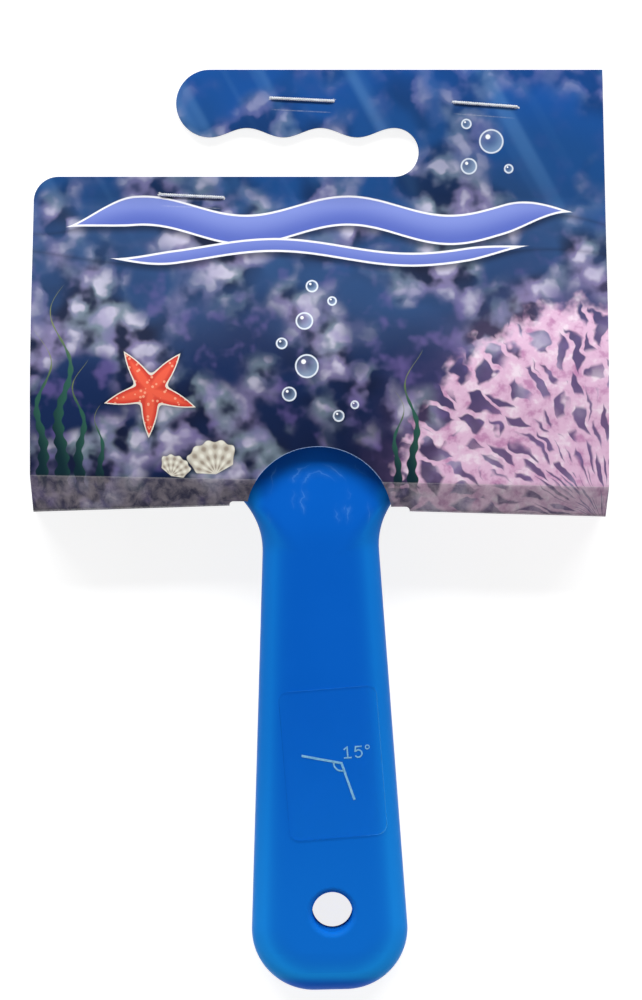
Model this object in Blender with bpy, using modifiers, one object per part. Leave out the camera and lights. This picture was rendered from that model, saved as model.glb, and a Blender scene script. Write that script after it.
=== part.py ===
"""Algae scraper with a straight steel blade, lying on its back in a stapled hang card.

World frame, in metres: +X across the blade, +Y from the handle's free end to the hang tab, +Z up to the
printed front, Z = 0 the surface that it lies on. The scraper is modelled in its head frame: the origin is the
middle of the neck where it is thinnest, +Y points out to the blade's edge, and +Z to the front. The card's
frame has its origin under the front crease.
"""

import math
from functools import partial

import bmesh
import bpy
from mathutils import Matrix, Vector

MM = 0.001

# Clearances
SEAT_GAP = 0.3 * MM
BLADE_GAP = 0.2 * MM
LABEL_GAP = 0.25 * MM
NECK_GAP = 0.4 * MM
WIRE_HOLE_GAP = 0.3 * MM
CREASE_GAP = 0.3 * MM
CUT_PAST = 4.0 * MM

# Moulding in plan: lengths run along its middle line, and a station is a distance from the handle's free end
HANDLE_LENGTH = 103.7 * MM  # free end to the thinnest point of the neck
HANDLE_END_WIDTH = 31.2 * MM
HANDLE_END_CORNER = 12.4 * MM
WAIST_WIDTH = 23.2 * MM
WAIST_BEHIND_NECK = 14.5 * MM
WAIST_FILLET = 15.0 * MM
HEAD_WIDTH = 102.0 * MM
HEAD_REACH = 38.8 * MM  # thinnest point of the neck to the lower jaw's lip
HEAD_REAR_CORNER = 5.0 * MM
HEAD_REAR_SLANT = math.radians(10.0)
HANDLE_EDGE_ROUND = 8.0 * MM
HEAD_EDGE_ROUND = 1.6 * MM
EDGE_PLATE = 16.4 * MM  # thickness at which the edges are rounded, before the side view flattens them

# Moulding in side view: heights from its middle line
BEND_ANGLE = math.radians(15.0)
BEND_LENGTH = 14.0 * MM
HANDLE_THICKNESS = 9.2 * MM
NECK_THICKNESS = 7.4 * MM
NECK_BLEND = 13.0 * MM
CREST_REACH = 17.8 * MM
CREST_TOP = 6.5 * MM
CREST_BOTTOM = 9.8 * MM
LIP_ROUND = 0.5 * MM
NOSE_FULLNESS = 0.62
HEAD_SWELL = 0.6

# Jaws
BLADE_FLOOR = -2.7 * MM  # top of the lower jaw, which the blade lies on
JAW_GAP = 6.0 * MM
JAW_GAP_BACK = 10.4 * MM
JAW_GAP_CHAMFER = 2.6 * MM
UPPER_LIP_REACH = 34.9 * MM
UPPER_LIP_LENGTH = 5.2 * MM
UPPER_LIP_DROP = 2.4 * MM
STOP_HEIGHT = 0.9 * MM
NOTCH_WIDTH = 9.0 * MM
NOTCH_DEPTH = 12.8 * MM
NOTCH_REACH = 24.0 * MM

# Blade and magnet
BLADE_LENGTH = 100.0 * MM
BLADE_WIDTH = 20.0 * MM
BLADE_THICKNESS = 0.4 * MM
BLADE_OVERHANG = 3.2 * MM
BLADE_GROUND_WIDTH = 2.0 * MM
BLADE_EDGE_THICKNESS = 0.08 * MM
BLADE_HOLE = 4.0 * MM
BLADE_HOLE_PITCH = 60.0 * MM
BLADE_HOLE_BEHIND_EDGE = 12.0 * MM
MAGNET_WIDTH = 10.0 * MM
MAGNET_THICKNESS = 1.8 * MM
MAGNET_LENGTH = 101.0 * MM
MAGNET_BEHIND_LIP = 5.4 * MM
MAGNET_CHAMFER = 0.3 * MM

# Hanging hole and label on the handle
HANG_HOLE = 8.0 * MM
HANG_HOLE_FROM_END = 16.2 * MM
HANG_HOLE_OFFSET = 0.6 * MM
HANG_HOLE_RIM = 1.3 * MM
LABEL_WIDTH = 19.4 * MM
LABEL_HEIGHT = 30.0 * MM
LABEL_CORNER = 2.0 * MM
LABEL_THICKNESS = 0.12 * MM
LABEL_FROM_END = 46.3 * MM
LABEL_OFFSET = 1.4 * MM
LABEL_TURN = math.radians(3.2)

# How the scraper lies in the card
SCRAPER_TURN = math.radians(1.35)
SCRAPER_OFFSET = -0.1 * MM

# Card: plan lengths run from the front crease towards the hang tab
CARD = 0.4 * MM
CARD_WIDTH = 114.8 * MM
CARD_TOP_TAPER = 0.6 * MM
CARD_CORNER = 5.0 * MM
CREASE_BEHIND_NECK = 1.1 * MM
CREASE_SLANT = math.radians(1.2)
CARD_OVER_HANDLE = 2.4 * MM
CARD_SHOULDER = 5.0 * MM
CARD_SHOULDER_DROP = 3.0 * MM
CARD_SHOULDER_SPLAY = 1.2 * MM
CARD_BASE = 5.6 * MM
CARD_CREST = 14.5 * MM
CARD_BULGE = 1.1
CUTOUT_RISE = 6.7 * MM
PINCH_PAST_BLADE = 12.4 * MM  # blade's edge to the line where the panels meet
PINCH_BELOW_STAPLE = 1.5 * MM
BACK_RISE_LENGTH = 9.0 * MM

# Hang tab and its slot
TAB_END_X = -22.0 * MM
TAB_END_RADIUS = 6.8 * MM
SLOT_END_X = 15.0 * MM
SLOT_HEIGHT = 9.8 * MM
WAVES = 2.5
WAVE_HEIGHT = 1.9 * MM

# Staples: place across, distance under the card's top edge, turn
WIRE = 0.7 * MM
STAPLE_WIDTH = 12.8 * MM
STAPLE_BEND = 0.8 * MM
STAPLE_CLINCH = 5.2 * MM
STAPLE_FLOOR_GAP = 0.1 * MM
STAPLES = {
    "staple_tab": (-3.5 * MM, 6.0 * MM, math.radians(-2.8)),
    "staple_right": (33.3 * MM, 7.0 * MM, math.radians(-4.3)),
    "staple_left": (-25.7 * MM, 25.4 * MM, math.radians(-2.7)),
}

# Surfaces: linear colour, roughness, metallic
BLUE_PLASTIC = ((0.003, 0.107, 0.515), 0.38, 0.0)
BLACK_MAGNET = ((0.012, 0.012, 0.013), 0.6, 0.0)
BLADE_STEEL = ((0.62, 0.63, 0.64), 0.22, 1.0)
CLEAR_FILM = ((0.55, 0.68, 0.85), 0.15, 0.0)
PRINTED_CARD = ((0.03, 0.1, 0.26), 0.3, 0.0)
PLAIN_CARD = ((0.72, 0.72, 0.7), 0.6, 0.0)
STAPLE_ZINC = ((0.6, 0.6, 0.6), 0.3, 1.0)

# Fineness of the meshes
ARC_STEP = 10.0
EDGE_SEGMENTS = 6
HEAD_STEP = 2.6 * MM
HANDLE_STEP = 12.0 * MM
LABEL_STEP = 1.1 * MM
CARD_FLAT_STEP = 7.25 * MM
CARD_CURVE_STEP = 4.1 * MM
CARD_RISE_STEP = 2.25 * MM
WAVE_POINTS = 12
ROUND_SEGMENTS = 24
CUTOUT_SEGMENTS = 72
WIRE_HOLE_SEGMENTS = 8
WIRE_RESOLUTION = 2
SMOOTH_ANGLE = math.radians(35.0)
FLAT_ANGLE = math.radians(0.1)
WELD = 0.001 * MM
SLICE_WELD = 0.0001 * MM
REST_HALVINGS = 60

# Places that follow from the sizes above
TIP = HANDLE_LENGTH + HEAD_REACH
WAIST = HANDLE_LENGTH - WAIST_BEHIND_NECK
CREST = HANDLE_LENGTH + CREST_REACH
BEND_END = HANDLE_LENGTH + BEND_LENGTH / 2
BEND_START = BEND_END - BEND_LENGTH
BEND_RADIUS = BEND_LENGTH / BEND_ANGLE
BLADE_BACK = HEAD_REACH + BLADE_OVERHANG - BLADE_WIDTH
ABOVE_BLADE = BLADE_FLOOR + JAW_GAP / 2
PINCH = CREASE_BEHIND_NECK + HEAD_REACH + BLADE_OVERHANG + PINCH_PAST_BLADE
CARD_HEIGHT = PINCH + PINCH_BELOW_STAPLE + max(below for _, below, _ in STAPLES.values())
SLOT_BOTTOM = CARD_HEIGHT - 2 * TAB_END_RADIUS + WAVE_HEIGHT - SLOT_HEIGHT
BACK_LIFT = STAPLE_FLOOR_GAP + WIRE + SEAT_GAP

for old in list(bpy.data.objects):
    bpy.data.objects.remove(old, do_unlink=True)

parts = bpy.data.collections.new("algae_scraper")
cutters = bpy.data.collections.new("cutters")
bpy.context.scene.collection.children.link(parts)
bpy.context.scene.collection.children.link(cutters)


def material(name, surface):
    colour, roughness, metallic = surface
    made = bpy.data.materials.new(name)
    made.use_nodes = True
    shader = made.node_tree.nodes["Principled BSDF"]
    shader.inputs["Base Color"].default_value = (*colour, 1.0)
    shader.inputs["Roughness"].default_value = roughness
    shader.inputs["Metallic"].default_value = metallic
    return made


def ease(share):
    """0 to 1 with a level start and a level end."""
    return 0.5 - 0.5 * math.cos(math.pi * min(max(share, 0.0), 1.0))


def swell(share):
    """0 to 1 with an early rise, a level start and a level end."""
    return ease(max(share, 0.0) ** HEAD_SWELL)


def arc(x, y, radius, start, end):
    """Points of an arc from one angle to another, in degrees."""
    steps = max(2, math.ceil(abs(end - start) / ARC_STEP))
    angles = [math.radians(start + (end - start) * step / steps) for step in range(steps + 1)]
    return [(x + radius * math.cos(angle), y + radius * math.sin(angle)) for angle in angles]


def spread(low, high, step):
    """Even values from low to high, about a step apart, both ends left out."""
    count = max(1, math.ceil((high - low) / step))
    return [low + (high - low) * index / count for index in range(1, count)]


def piece(name, mesh, surface, parent):
    """A named piece in its parent's frame."""
    made = bpy.data.objects.new(name, mesh)
    parts.objects.link(made)
    made.parent = parent
    mesh.materials.append(surface)
    mesh.shade_smooth()
    mesh.set_sharp_from_angle(angle=SMOOTH_ANGLE)
    return made


def cutter(name, mesh, parent):
    """A shape that is cut away from a piece."""
    made = bpy.data.objects.new(name, mesh)
    cutters.objects.link(made)
    made.parent = parent
    made.hide_render = True
    made.display_type = "WIRE"
    return made


def cut(target, tool):
    boolean = target.modifiers.new(tool.name, "BOOLEAN")
    boolean.operation = "DIFFERENCE"
    boolean.object = tool


def thicken(made, thickness, offset):
    solid = made.modifiers.new("thickness", "SOLIDIFY")
    solid.thickness = thickness
    solid.offset = offset
    solid.use_even_offset = True


def frame(name, matrix):
    """An empty that carries pieces."""
    made = bpy.data.objects.new(name, None)
    parts.objects.link(made)
    made.matrix_local = matrix
    return made


def mesh_of(name, shape):
    """The mesh of a worked-out shape, which is freed."""
    mesh = bpy.data.meshes.new(name)
    shape.to_mesh(mesh)
    shape.free()
    return mesh


def evaluated(made):
    """The object's mesh with its modifiers applied and doubled points joined; the object is removed."""
    graph = bpy.context.evaluated_depsgraph_get()
    raw = bpy.data.meshes.new_from_object(made.evaluated_get(graph))
    name = made.name
    bpy.data.objects.remove(made, do_unlink=True)
    shape = bmesh.new()
    shape.from_mesh(raw)
    bpy.data.meshes.remove(raw)
    bmesh.ops.remove_doubles(shape, verts=shape.verts, dist=WELD)
    bmesh.ops.dissolve_degenerate(shape, edges=shape.edges, dist=WELD)
    bmesh.ops.dissolve_limit(shape, angle_limit=FLAT_ANGLE, verts=[], edges=shape.edges)
    bmesh.ops.recalc_face_normals(shape, faces=shape.faces)
    return mesh_of(name, shape)


def flat_shape(name, outline, thickness=0.0):
    """The mesh of a flat outline in X and Y, centred on Z = 0; an open sheet where it has no thickness."""
    curve = bpy.data.curves.new(name, "CURVE")
    curve.dimensions = "2D"
    curve.fill_mode = "BOTH"
    curve.extrude = thickness / 2
    spline = curve.splines.new("POLY")
    spline.points.add(len(outline) - 1)
    for point, (x, y) in zip(spline.points, outline):
        point.co = (x, y, 0.0, 1.0)
    spline.use_cyclic_u = True
    made = bpy.data.objects.new(name, curve)
    cutters.objects.link(made)
    mesh = evaluated(made)
    bpy.data.curves.remove(curve)
    return mesh


def across(name, outline, length):
    """The mesh of an outline in Y and Z, drawn out along X and centred on X = 0."""
    mesh = flat_shape(name, outline, length)
    mesh.transform(Matrix(((0, 0, 1, 0), (1, 0, 0, 0), (0, 1, 0, 0), (0, 0, 0, 1))))
    return mesh


def drums(name, radius, depth, segments, places, parent):
    """Upright round cutters at places in X and Y, as one object."""
    shape = bmesh.new()
    for x, y in places:
        bmesh.ops.create_cone(
            shape,
            cap_ends=True,
            segments=segments,
            radius1=radius,
            radius2=radius,
            depth=depth,
            matrix=Matrix.Translation((x, y, 0.0)),
        )
    return cutter(name, mesh_of(name, shape), parent)


def sliced(mesh, places, axis):
    """Adds the edges where planes square to an axis cross the mesh."""
    normal = Vector([float(index == axis) for index in range(3)])
    shape = bmesh.new()
    shape.from_mesh(mesh)
    for place in places:
        everything = shape.verts[:] + shape.edges[:] + shape.faces[:]
        bmesh.ops.bisect_plane(
            shape, geom=everything, dist=SLICE_WELD, plane_co=normal * place, plane_no=normal
        )
    shape.to_mesh(mesh)
    shape.free()


def moved(mesh, rule):
    """Moves each point of a mesh to where a rule puts it."""
    for vertex in mesh.vertices:
        vertex.co = rule(*vertex.co)


def moulding_half_outline():
    """Right half of the moulding's outline, from the handle's free end to the lip: (x, station)."""
    end = (HANDLE_END_WIDTH / 2 - HANDLE_END_CORNER, HANDLE_END_CORNER)
    waist = (WAIST_WIDTH / 2 + WAIST_FILLET, WAIST)
    run = Vector(waist) - Vector(end)
    lean = math.atan2(run.y, run.x) - math.acos((HANDLE_END_CORNER + WAIST_FILLET) / run.length)
    slant = math.degrees(HEAD_REAR_SLANT)
    rear_x = HEAD_WIDTH / 2 - HEAD_REAR_CORNER
    foot = Vector(waist) + WAIST_FILLET * Vector((-math.sin(HEAD_REAR_SLANT), math.cos(HEAD_REAR_SLANT)))
    rear_edge = foot.y + (rear_x - foot.x) * math.tan(HEAD_REAR_SLANT)
    rear_y = rear_edge + HEAD_REAR_CORNER / math.cos(HEAD_REAR_SLANT)
    points = arc(*end, HANDLE_END_CORNER, -90.0, math.degrees(lean))
    points += arc(*waist, WAIST_FILLET, 180.0 + math.degrees(lean), 90.0 + slant)
    points += arc(rear_x, rear_y, HEAD_REAR_CORNER, slant - 90.0, 0.0)
    return points + [(HEAD_WIDTH / 2, TIP)]


HALF_OUTLINE = moulding_half_outline()


def half_width(station):
    """Half the moulding's width at a distance from its free end."""
    for (x0, y0), (x1, y1) in zip(HALF_OUTLINE, HALF_OUTLINE[1:]):
        if y0 <= station <= y1 and y1 > y0:
            return x0 + (x1 - x0) * (station - y0) / (y1 - y0)
    return HEAD_WIDTH / 2


def cutout_radius():
    """Radius of the card's round cut-out, which clears the neck where the card's base crosses it."""
    clear = half_width(HANDLE_LENGTH - CREASE_BEHIND_NECK - CARD_SHOULDER) + NECK_GAP
    rise = CUTOUT_RISE + CARD_SHOULDER
    return (clear**2 + rise**2) / (2 * rise)


CUTOUT_RADIUS = cutout_radius()


def nose(station, height):
    """Height over the blade's floor of the rounded nose between the crest and the lip."""
    reach = TIP + LIP_ROUND - CREST
    return height * max(0.0, 1.0 - ((station - CREST) / reach) ** 2) ** NOSE_FULLNESS


def top_height(station):
    """Front surface over the middle line."""
    neck = NECK_THICKNESS / 2
    if station >= CREST:
        return BLADE_FLOOR + nose(station, CREST_TOP - BLADE_FLOOR)
    if station >= HANDLE_LENGTH:
        return neck + (CREST_TOP - neck) * swell((station - HANDLE_LENGTH) / CREST_REACH)
    return neck + (HANDLE_THICKNESS / 2 - neck) * ease((HANDLE_LENGTH - station) / NECK_BLEND)


def bottom_height(station):
    """Back surface over the middle line."""
    neck = -NECK_THICKNESS / 2
    if station >= CREST:
        return BLADE_FLOOR - nose(station, CREST_BOTTOM + BLADE_FLOOR)
    if station >= HANDLE_LENGTH:
        return neck - (CREST_BOTTOM + neck) * swell((station - HANDLE_LENGTH) / CREST_REACH)
    return neck - (HANDLE_THICKNESS / 2 + neck) * ease((HANDLE_LENGTH - station) / NECK_BLEND)


def bent(x, station, height):
    """A point of the straightened moulding, in the head frame: the handle is bent back at the neck."""
    if station >= BEND_END:
        return Vector((x, station - HANDLE_LENGTH, height))
    turn = min((BEND_END - station) / BEND_RADIUS, BEND_ANGLE)
    straight = max(BEND_START - station, 0.0)
    y = BEND_LENGTH / 2 - (BEND_RADIUS + height) * math.sin(turn) - straight * math.cos(turn)
    z = (BEND_RADIUS + height) * math.cos(turn) - BEND_RADIUS - straight * math.sin(turn)
    return Vector((x, y, z))


def shaped(x, station, height):
    """A point of the rounded plate, taken to the moulding's own thickness and bent."""
    share = 0.5 + height / EDGE_PLATE
    low = bottom_height(station)
    return bent(x, station, low + share * (top_height(station) - low))


def front_point(x, station, lift):
    """A point over the handle's front, which is level in the middle and rounds off to its edges."""
    into_edge = max(0.0, HANDLE_EDGE_ROUND - (half_width(station) - abs(x)))
    drop = HANDLE_EDGE_ROUND - math.sqrt(HANDLE_EDGE_ROUND**2 - into_edge**2)
    flattened = (top_height(station) - bottom_height(station)) / EDGE_PLATE
    return bent(x, station, top_height(station) - drop * flattened + lift)


def weigh_edges(plate):
    """Marks the plate's rim for its rounding: full along the handle, fine round the head."""
    shape = bmesh.new()
    shape.from_mesh(plate)
    weights = shape.edges.layers.float.new("bevel_weight_edge")
    fine = HEAD_EDGE_ROUND / HANDLE_EDGE_ROUND
    for edge in shape.edges:
        start, end = (vertex.co for vertex in edge.verts)
        if abs(start.z - end.z) < EDGE_PLATE / 2:
            into_head = ((start.y + end.y) / 2 - WAIST) / WAIST_FILLET
            edge[weights] = 1.0 + (fine - 1.0) * ease(into_head)
    shape.to_mesh(plate)
    shape.free()


def moulding_mesh():
    """Handle, neck and head before the cuts: an outline with rounded edges, given its side view."""
    left = [(-x, y) for x, y in reversed(HALF_OUTLINE)]
    plate = flat_shape("moulding_plate", HALF_OUTLINE + left, EDGE_PLATE)
    weigh_edges(plate)
    rounded = bpy.data.objects.new("handle_moulding", plate)
    cutters.objects.link(rounded)
    bevel = rounded.modifiers.new("edges", "BEVEL")
    bevel.limit_method = "WEIGHT"
    bevel.width = HANDLE_EDGE_ROUND
    bevel.segments = EDGE_SEGMENTS
    bevel.use_clamp_overlap = False
    mesh = evaluated(rounded)
    straight = spread(0.0, BEND_START - NECK_BLEND, HANDLE_STEP)
    curved = spread(BEND_START - NECK_BLEND, TIP, HEAD_STEP)
    sliced(mesh, straight + curved, axis=1)
    moved(mesh, shaped)
    return mesh


def resting_place(mesh):
    """Tilt and neck height at which the head lies on the card's back and the handle's end on the floor."""
    head = [vertex.co for vertex in mesh.vertices if vertex.co.y > 0.0]
    handle = [vertex.co for vertex in mesh.vertices if vertex.co.y <= 0.0]

    def lowest(points, tilt):
        return min(point.z * math.cos(tilt) - point.y * math.sin(tilt) for point in points)

    low = -BEND_ANGLE
    high = 2 * BEND_ANGLE
    for _ in range(REST_HALVINGS):
        tilt = (low + high) / 2
        if lowest(head, tilt) - lowest(handle, tilt) > CARD + SEAT_GAP:
            low = tilt
        else:
            high = tilt
    return tilt, -lowest(handle, tilt)


def jaw_gap(scraper):
    """The gap between the jaws, open in front and at both ends, with the step that the blade's back meets."""
    roof = BLADE_FLOOR + JAW_GAP
    lip_under = roof - UPPER_LIP_DROP
    lip_root = UPPER_LIP_REACH - UPPER_LIP_LENGTH
    stop = BLADE_BACK - SEAT_GAP
    past = HEAD_REACH + CUT_PAST
    outline = [
        (JAW_GAP_BACK, BLADE_FLOOR + STOP_HEIGHT),
        (stop, BLADE_FLOOR + STOP_HEIGHT),
        (stop, BLADE_FLOOR),
        (past, BLADE_FLOOR),
        (past, CREST_TOP + CUT_PAST),
        (UPPER_LIP_REACH, CREST_TOP + CUT_PAST),
        (UPPER_LIP_REACH, lip_under),
        (lip_root, lip_under),
        (lip_root - UPPER_LIP_DROP, roof),
        (JAW_GAP_BACK + JAW_GAP_CHAMFER, roof),
        (JAW_GAP_BACK, roof - JAW_GAP_CHAMFER),
    ]
    return cutter("jaw_gap", across("jaw_gap", outline, HEAD_WIDTH + CUT_PAST), scraper)


def magnet_groove(scraper):
    """The groove in the lower jaw that the magnet lies in, under the blade."""
    front = HEAD_REACH - MAGNET_BEHIND_LIP + SEAT_GAP
    back = front - MAGNET_WIDTH - 2 * SEAT_GAP
    depth = BLADE_FLOOR - MAGNET_THICKNESS - SEAT_GAP
    outline = [(back, depth), (front, depth), (front, ABOVE_BLADE), (back, ABOVE_BLADE)]
    return cutter("magnet_groove", across("magnet_groove", outline, HEAD_WIDTH + CUT_PAST), scraper)


def finger_notch(scraper):
    """The notch at one end of the upper jaw, where a finger pushes the blade out sideways."""
    inner = HEAD_WIDTH / 2 - NOTCH_DEPTH + NOTCH_WIDTH / 2
    outer = HEAD_WIDTH / 2 + CUT_PAST
    outline = arc(inner, NOTCH_REACH, NOTCH_WIDTH / 2, 90.0, 270.0)
    outline += [(outer, NOTCH_REACH - NOTCH_WIDTH / 2), (outer, NOTCH_REACH + NOTCH_WIDTH / 2)]
    mesh = flat_shape("finger_notch", outline, CREST_TOP)
    mesh.transform(Matrix.Translation((0.0, 0.0, ABOVE_BLADE + CREST_TOP / 2)))
    return cutter("finger_notch", mesh, scraper)


def hanging_hole(scraper):
    """The hole near the handle's free end, with a rounded rim on both faces, turned about its own axis."""
    rim_x = HANG_HOLE / 2 + HANG_HOLE_RIM
    above = HANDLE_THICKNESS / 2 + CUT_PAST
    rim = arc(rim_x, HANDLE_THICKNESS / 2 - HANG_HOLE_RIM, HANG_HOLE_RIM, 90.0, 180.0)
    upper = [(0.0, above), (rim_x, above)] + rim
    lower = [(radius, -height) for radius, height in reversed(upper)]
    shape = bmesh.new()
    line = [shape.verts.new((radius, 0.0, height)) for radius, height in upper + lower]
    for pair in zip(line, line[1:]):
        shape.edges.new(pair)
    made = cutter("hanging_hole", mesh_of("hanging_hole", shape), scraper)
    middle = Matrix.Translation(bent(HANG_HOLE_OFFSET, HANG_HOLE_FROM_END, 0.0))
    made.matrix_local = middle @ Matrix.Rotation(BEND_ANGLE, 4, "X")
    screw = made.modifiers.new("turn", "SCREW")
    screw.steps = ROUND_SEGMENTS
    screw.render_steps = ROUND_SEGMENTS
    screw.use_merge_vertices = True
    screw.merge_threshold = WELD
    return made


def make_moulding(mesh, scraper):
    made = piece("handle_moulding", mesh, material("blue_plastic", BLUE_PLASTIC), scraper)
    for tool in (jaw_gap, magnet_groove, finger_notch, hanging_hole):
        cut(made, tool(scraper))


def make_magnet(scraper):
    bar = bmesh.new()
    bmesh.ops.create_cube(bar, size=1.0)
    bmesh.ops.scale(bar, vec=(MAGNET_LENGTH, MAGNET_WIDTH, MAGNET_THICKNESS), verts=bar.verts)
    made = piece("magnet_bar", mesh_of("magnet_bar", bar), material("black_magnet", BLACK_MAGNET), scraper)
    middle = HEAD_REACH - MAGNET_BEHIND_LIP - MAGNET_WIDTH / 2
    made.location = (0.0, middle, BLADE_FLOOR - MAGNET_THICKNESS / 2)
    bevel = made.modifiers.new("edges", "BEVEL")
    bevel.width = MAGNET_CHAMFER
    bevel.segments = 1


def make_blade(scraper):
    half = BLADE_WIDTH / 2
    ground = half - BLADE_GROUND_WIDTH
    edge = BLADE_EDGE_THICKNESS / 2
    thick = BLADE_THICKNESS / 2
    under = [(-half, -thick), (ground, -thick), (half, -edge)]
    over = [(y, -z) for y, z in reversed(under)]
    mesh = across("blade", under + over, BLADE_LENGTH)
    made = piece("blade", mesh, material("blade_steel", BLADE_STEEL), scraper)
    made.location = (0.0, BLADE_BACK + half, BLADE_FLOOR + BLADE_GAP + thick)
    row = half - BLADE_HOLE_BEHIND_EDGE
    places = [(-BLADE_HOLE_PITCH / 2, row), (BLADE_HOLE_PITCH / 2, row)]
    cut(made, drums("blade_holes", BLADE_HOLE / 2, CUT_PAST, ROUND_SEGMENTS, places, made))


def rounded_rectangle(width, height, corner):
    points = []
    for turn, (side, end) in enumerate(((1, -1), (1, 1), (-1, 1), (-1, -1))):
        middle = (side * (width / 2 - corner), end * (height / 2 - corner))
        points += arc(*middle, corner, 90.0 * turn - 90.0, 90.0 * turn)
    return points


def make_label(scraper):
    mesh = flat_shape("handle_label", rounded_rectangle(LABEL_WIDTH, LABEL_HEIGHT, LABEL_CORNER))
    place = Matrix.Translation((LABEL_OFFSET, LABEL_FROM_END, 0.0))
    mesh.transform(place @ Matrix.Rotation(LABEL_TURN, 4, "Z"))
    sliced(mesh, spread(-HANDLE_END_WIDTH / 2, HANDLE_END_WIDTH / 2, LABEL_STEP), axis=0)
    moved(mesh, lambda x, y, z: front_point(x, y, LABEL_GAP))
    made = piece("handle_label", mesh, material("clear_film", CLEAR_FILM), scraper)
    thicken(made, LABEL_THICKNESS, 1.0)


def tab_outline():
    """The card's upper end, from its right edge round the hang tab and its slot to its left edge."""
    half = CARD_WIDTH / 2
    low = CARD_HEIGHT - 2 * TAB_END_RADIUS
    points = [(half, PINCH), (half - CARD_TOP_TAPER, CARD_HEIGHT)]
    points += arc(TAB_END_X, CARD_HEIGHT - TAB_END_RADIUS, TAB_END_RADIUS, 90.0, 270.0)
    steps = round(WAVES * WAVE_POINTS)
    run = SLOT_END_X - TAB_END_X
    for step in range(1, steps):
        rise = 0.5 - 0.5 * math.cos(2 * math.pi * step / WAVE_POINTS)
        points.append((TAB_END_X + run * step / steps, low + WAVE_HEIGHT * rise))
    points += arc(SLOT_END_X, SLOT_BOTTOM + SLOT_HEIGHT / 2, SLOT_HEIGHT / 2, 90.0, -90.0)
    return points + arc(CARD_CORNER - half, SLOT_BOTTOM - CARD_CORNER, CARD_CORNER, 90.0, 180.0)


def panel_outline(bottom, slant):
    """A panel of the card, from its lower crease up, with the round cut-out for the neck."""
    half = CARD_WIDTH / 2
    drop = half * math.tan(slant)
    middle = CUTOUT_RISE - CUTOUT_RADIUS
    lean = math.degrees(math.asin((bottom - middle) * math.cos(slant) / CUTOUT_RADIUS))
    turn = math.degrees(slant)
    round_cut = arc(0.0, middle, CUTOUT_RADIUS, 180.0 - lean - turn, lean - turn)
    return [(-half, bottom + drop)] + round_cut + [(half, bottom - drop)] + tab_outline()


def back_height(y):
    """Middle of the back panel: on the floor, but lifted over the staples' clinched legs."""
    return CARD / 2 + BACK_LIFT * ease((y - PINCH + BACK_RISE_LENGTH) / BACK_RISE_LENGTH)


def front_height(top, y):
    """Middle of the front panel: flat on the back one at the staples, then up over the head."""
    pinched = CARD / 2 + BACK_LIFT + CARD + SEAT_GAP
    share = min(max((PINCH - y) / (PINCH - CARD_CREST), 0.0), 1.0)
    return pinched + (top - pinched) * math.sin(0.5 * math.pi * share**CARD_BULGE)


def card_panel(name, bottom, slant, height_at, surface, leg_holes, card):
    mesh = flat_shape(name, panel_outline(bottom, slant))
    places = spread(bottom, CARD_CREST, CARD_FLAT_STEP) + [CARD_CREST]
    places += spread(CARD_CREST, PINCH, CARD_CURVE_STEP) + [PINCH]
    places += spread(PINCH - BACK_RISE_LENGTH, PINCH, CARD_RISE_STEP)
    sliced(mesh, places, axis=1)
    moved(mesh, lambda x, y, z: (x, y, height_at(y)))
    made = piece(name, mesh, surface, card)
    thicken(made, CARD, 0.0)
    cut(made, leg_holes)


def card_base(name, side, top, surface, cutout, card):
    """One half of the card's base: a sloping shoulder under the front crease, then a wall to the back one."""
    outer = CREASE_GAP + CARD / 2
    drop = side * CARD_WIDTH / 2 * math.tan(CREASE_SLANT)
    rows = [
        (-outer, -outer - drop, top - CARD_SHOULDER_DROP * outer / CARD_SHOULDER),
        (-CARD_SHOULDER, -CARD_SHOULDER - CARD_SHOULDER_SPLAY - drop, top - CARD_SHOULDER_DROP),
        (-CARD_BASE, -CARD_BASE, 2 * CARD + CREASE_GAP),
    ]
    shape = bmesh.new()
    near = [shape.verts.new((0.0, inner_y, z)) for inner_y, _, z in rows]
    far = [shape.verts.new((side * CARD_WIDTH / 2, outer_y, z)) for _, outer_y, z in rows]
    for start in range(len(rows) - 1):
        shape.faces.new((near[start], near[start + 1], far[start + 1], far[start]))
    bmesh.ops.recalc_face_normals(shape, faces=shape.faces)
    made = piece(name, mesh_of(name, shape), surface, card)
    thicken(made, CARD, 0.0)
    cut(made, cutout)


def leg_places():
    """Where the staples' legs go through the card."""
    places = []
    for x, below, turn in STAPLES.values():
        for reach in (-STAPLE_WIDTH / 2, STAPLE_WIDTH / 2):
            places.append((x + reach * math.cos(turn), CARD_HEIGHT - below + reach * math.sin(turn)))
    return places


def make_card(top, card):
    """The card wrap: front and back panels, and the base between them, which the neck parts in two halves."""
    printed = material("printed_card", PRINTED_CARD)
    plain = material("plain_card", PLAIN_CARD)
    hole = WIRE / 2 + WIRE_HOLE_GAP
    leg_holes = drums("leg_holes", hole, 2 * top, WIRE_HOLE_SEGMENTS, leg_places(), card)
    over_head = partial(front_height, top)
    card_panel("card_front_panel", 0.0, CREASE_SLANT, over_head, printed, leg_holes, card)
    card_panel("card_back_panel", CREASE_GAP - CARD_BASE, 0.0, back_height, plain, leg_holes, card)
    middle = [(0.0, CUTOUT_RISE - CUTOUT_RADIUS)]
    cutout = drums("neck_cutout", CUTOUT_RADIUS, 4 * top, CUTOUT_SEGMENTS, middle, card)
    card_base("card_base_left", -1, top, printed, cutout, card)
    card_base("card_base_right", 1, top, printed, cutout, card)


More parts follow.
